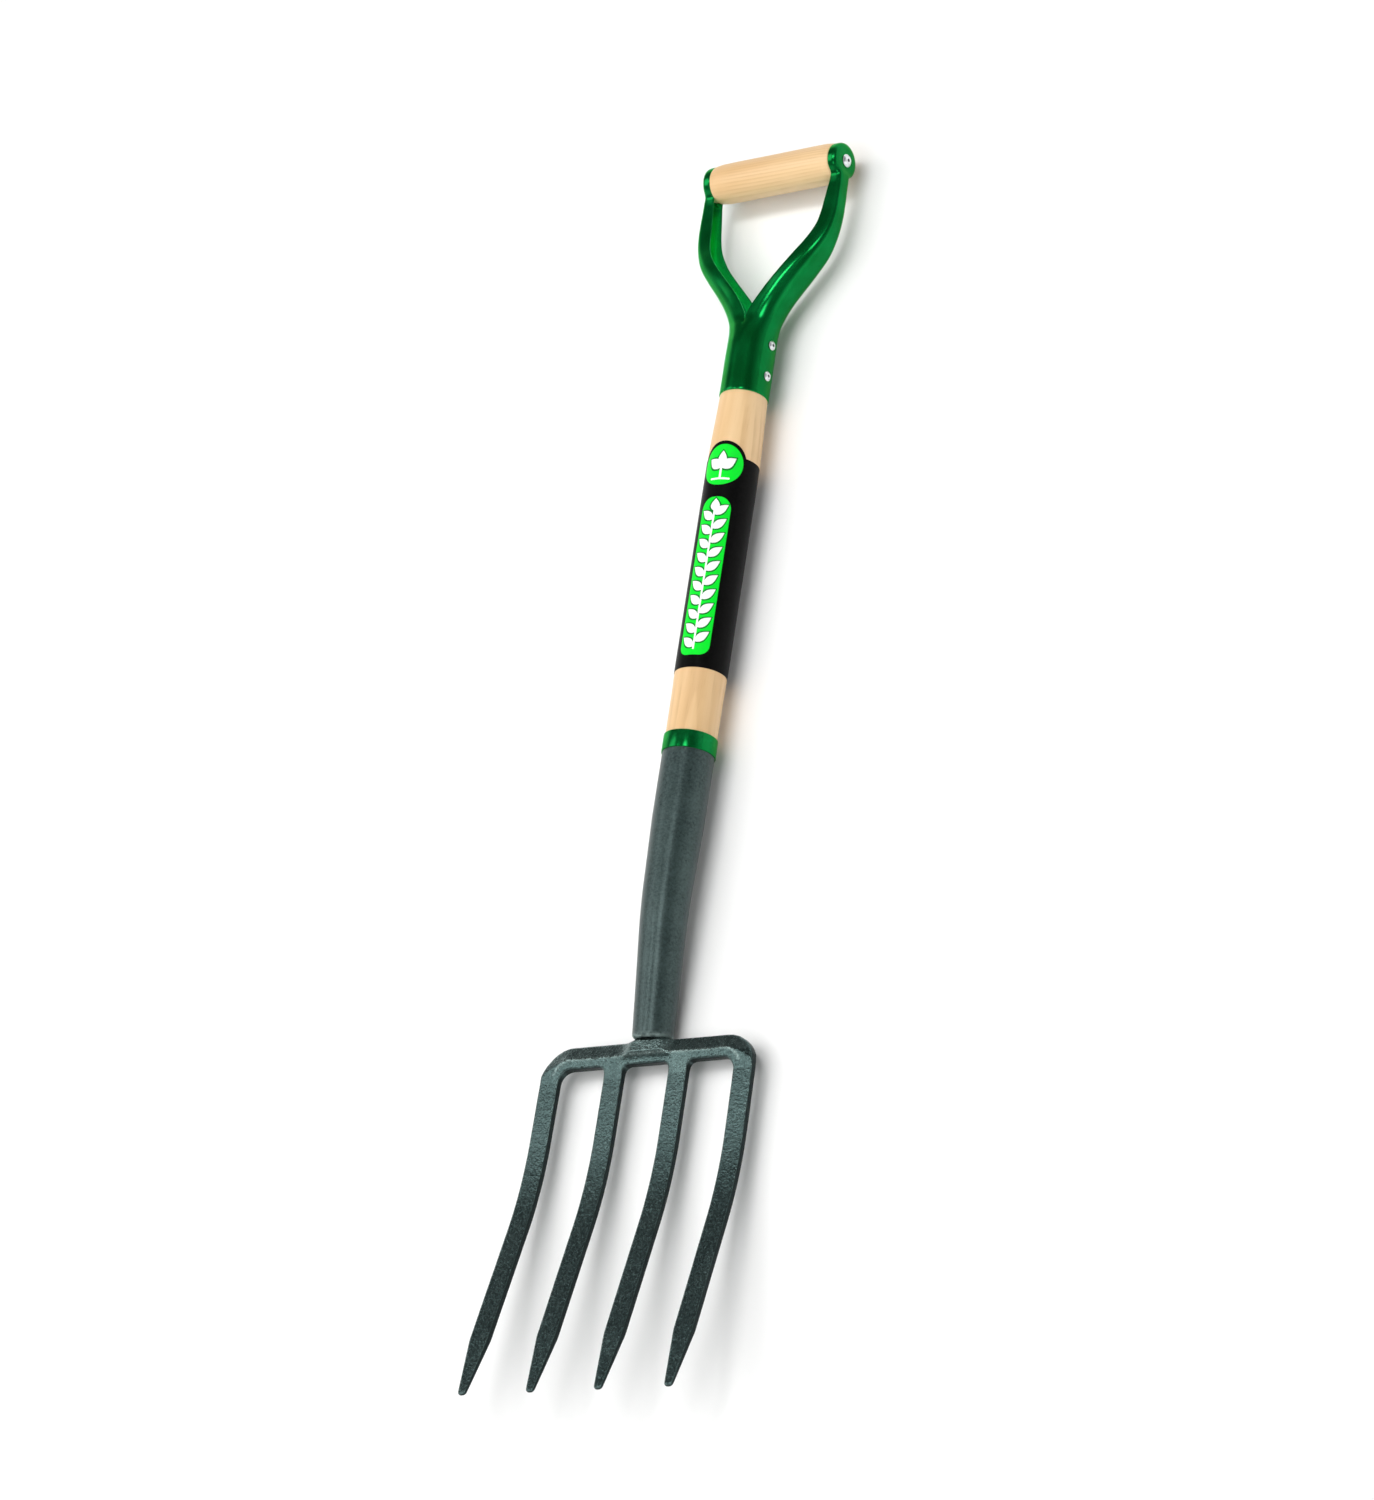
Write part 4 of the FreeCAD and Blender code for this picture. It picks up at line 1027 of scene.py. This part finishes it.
def make_world():
    """White studio: bright towards the horizon, dimmer overhead, with pale and dark cards."""
    # direction, outer and inner angle in degrees, and strength; below 0 the card is dark
    cards = [((-0.63, 0.12, 0.77), 20, 10, 2.5), ((0.31, 0.14, 0.94), 11, 5, 7.0),
             ((-0.18, 0.11, 0.98), 6, 3, 13.0), ((0.90, 0.35, 0.35), 48, 18, -0.55),
             ((0.0, -0.55, 0.83), 16, 5, 2.5), ((-0.57, 0.65, 0.50), 28, 14, -0.78)]
    world = bpy.data.worlds.new("studio")
    world.use_nodes = True
    sky = Nodes(world.node_tree)
    direction = sky.add("TexCoord", {}).outputs["Generated"]
    level = sky.add("SeparateXYZ", {"Vector": direction}).outputs["Z"]

    def card(towards, wide, narrow):
        """1 inside a round card seen in a direction, 0 outside."""
        towards = Vector(towards).normalized()
        near = sky.vector("DOT_PRODUCT", {0: direction, 1: towards})
        return sky.spread(near, math.cos(math.radians(wide)), math.cos(math.radians(narrow)))

    light = sky.spread(level, 0.05, 0.62, 1.5, 0.20)
    for towards, wide, narrow, strength in cards:
        shape = card(towards, wide, narrow)
        if strength > 0:
            light = sky.maths("MULTIPLY_ADD", shape, strength, light)
        else:
            light = sky.maths("MULTIPLY", light, sky.maths("MULTIPLY_ADD", shape, strength, 1.0))
    background = sky.tree.nodes["Background"]
    background.inputs["Color"].default_value = (1, 1, 1, 1)
    sky.tree.links.new(light, background.inputs["Strength"])
    bpy.context.scene.world = world


make_floor()
make_world()
soft_box("key", (0.10, 0.70, 1.90), (0.45, 0.40), 5)
soft_box("fill", (-0.35, -0.25, 2.5), (3.2, 3.2), 40)

# the camera fitted to the photo: its place in metres and its own axes
CAMERA_PLACE = (2.48025, -1.49440, 3.09077)
CAMERA_RIGHT = (0.80224, 0.14377, -0.57943)
CAMERA_UP = (0.10116, 0.92380, 0.36928)
CAMERA_BACK = (0.58836, -0.35486, 0.72657)
lens = bpy.data.cameras.new("camera")
lens.sensor_width = 36.0
lens.lens = 135.77
lens.clip_end = 50.0
camera = link(bpy.data.objects.new("camera", lens))
turn = Matrix((CAMERA_RIGHT, CAMERA_UP, CAMERA_BACK)).transposed()
camera.matrix_world = Matrix.Translation(CAMERA_PLACE) @ turn.to_4x4()
bpy.context.scene.camera = camera
bpy.context.scene.view_settings.view_transform = "Standard"
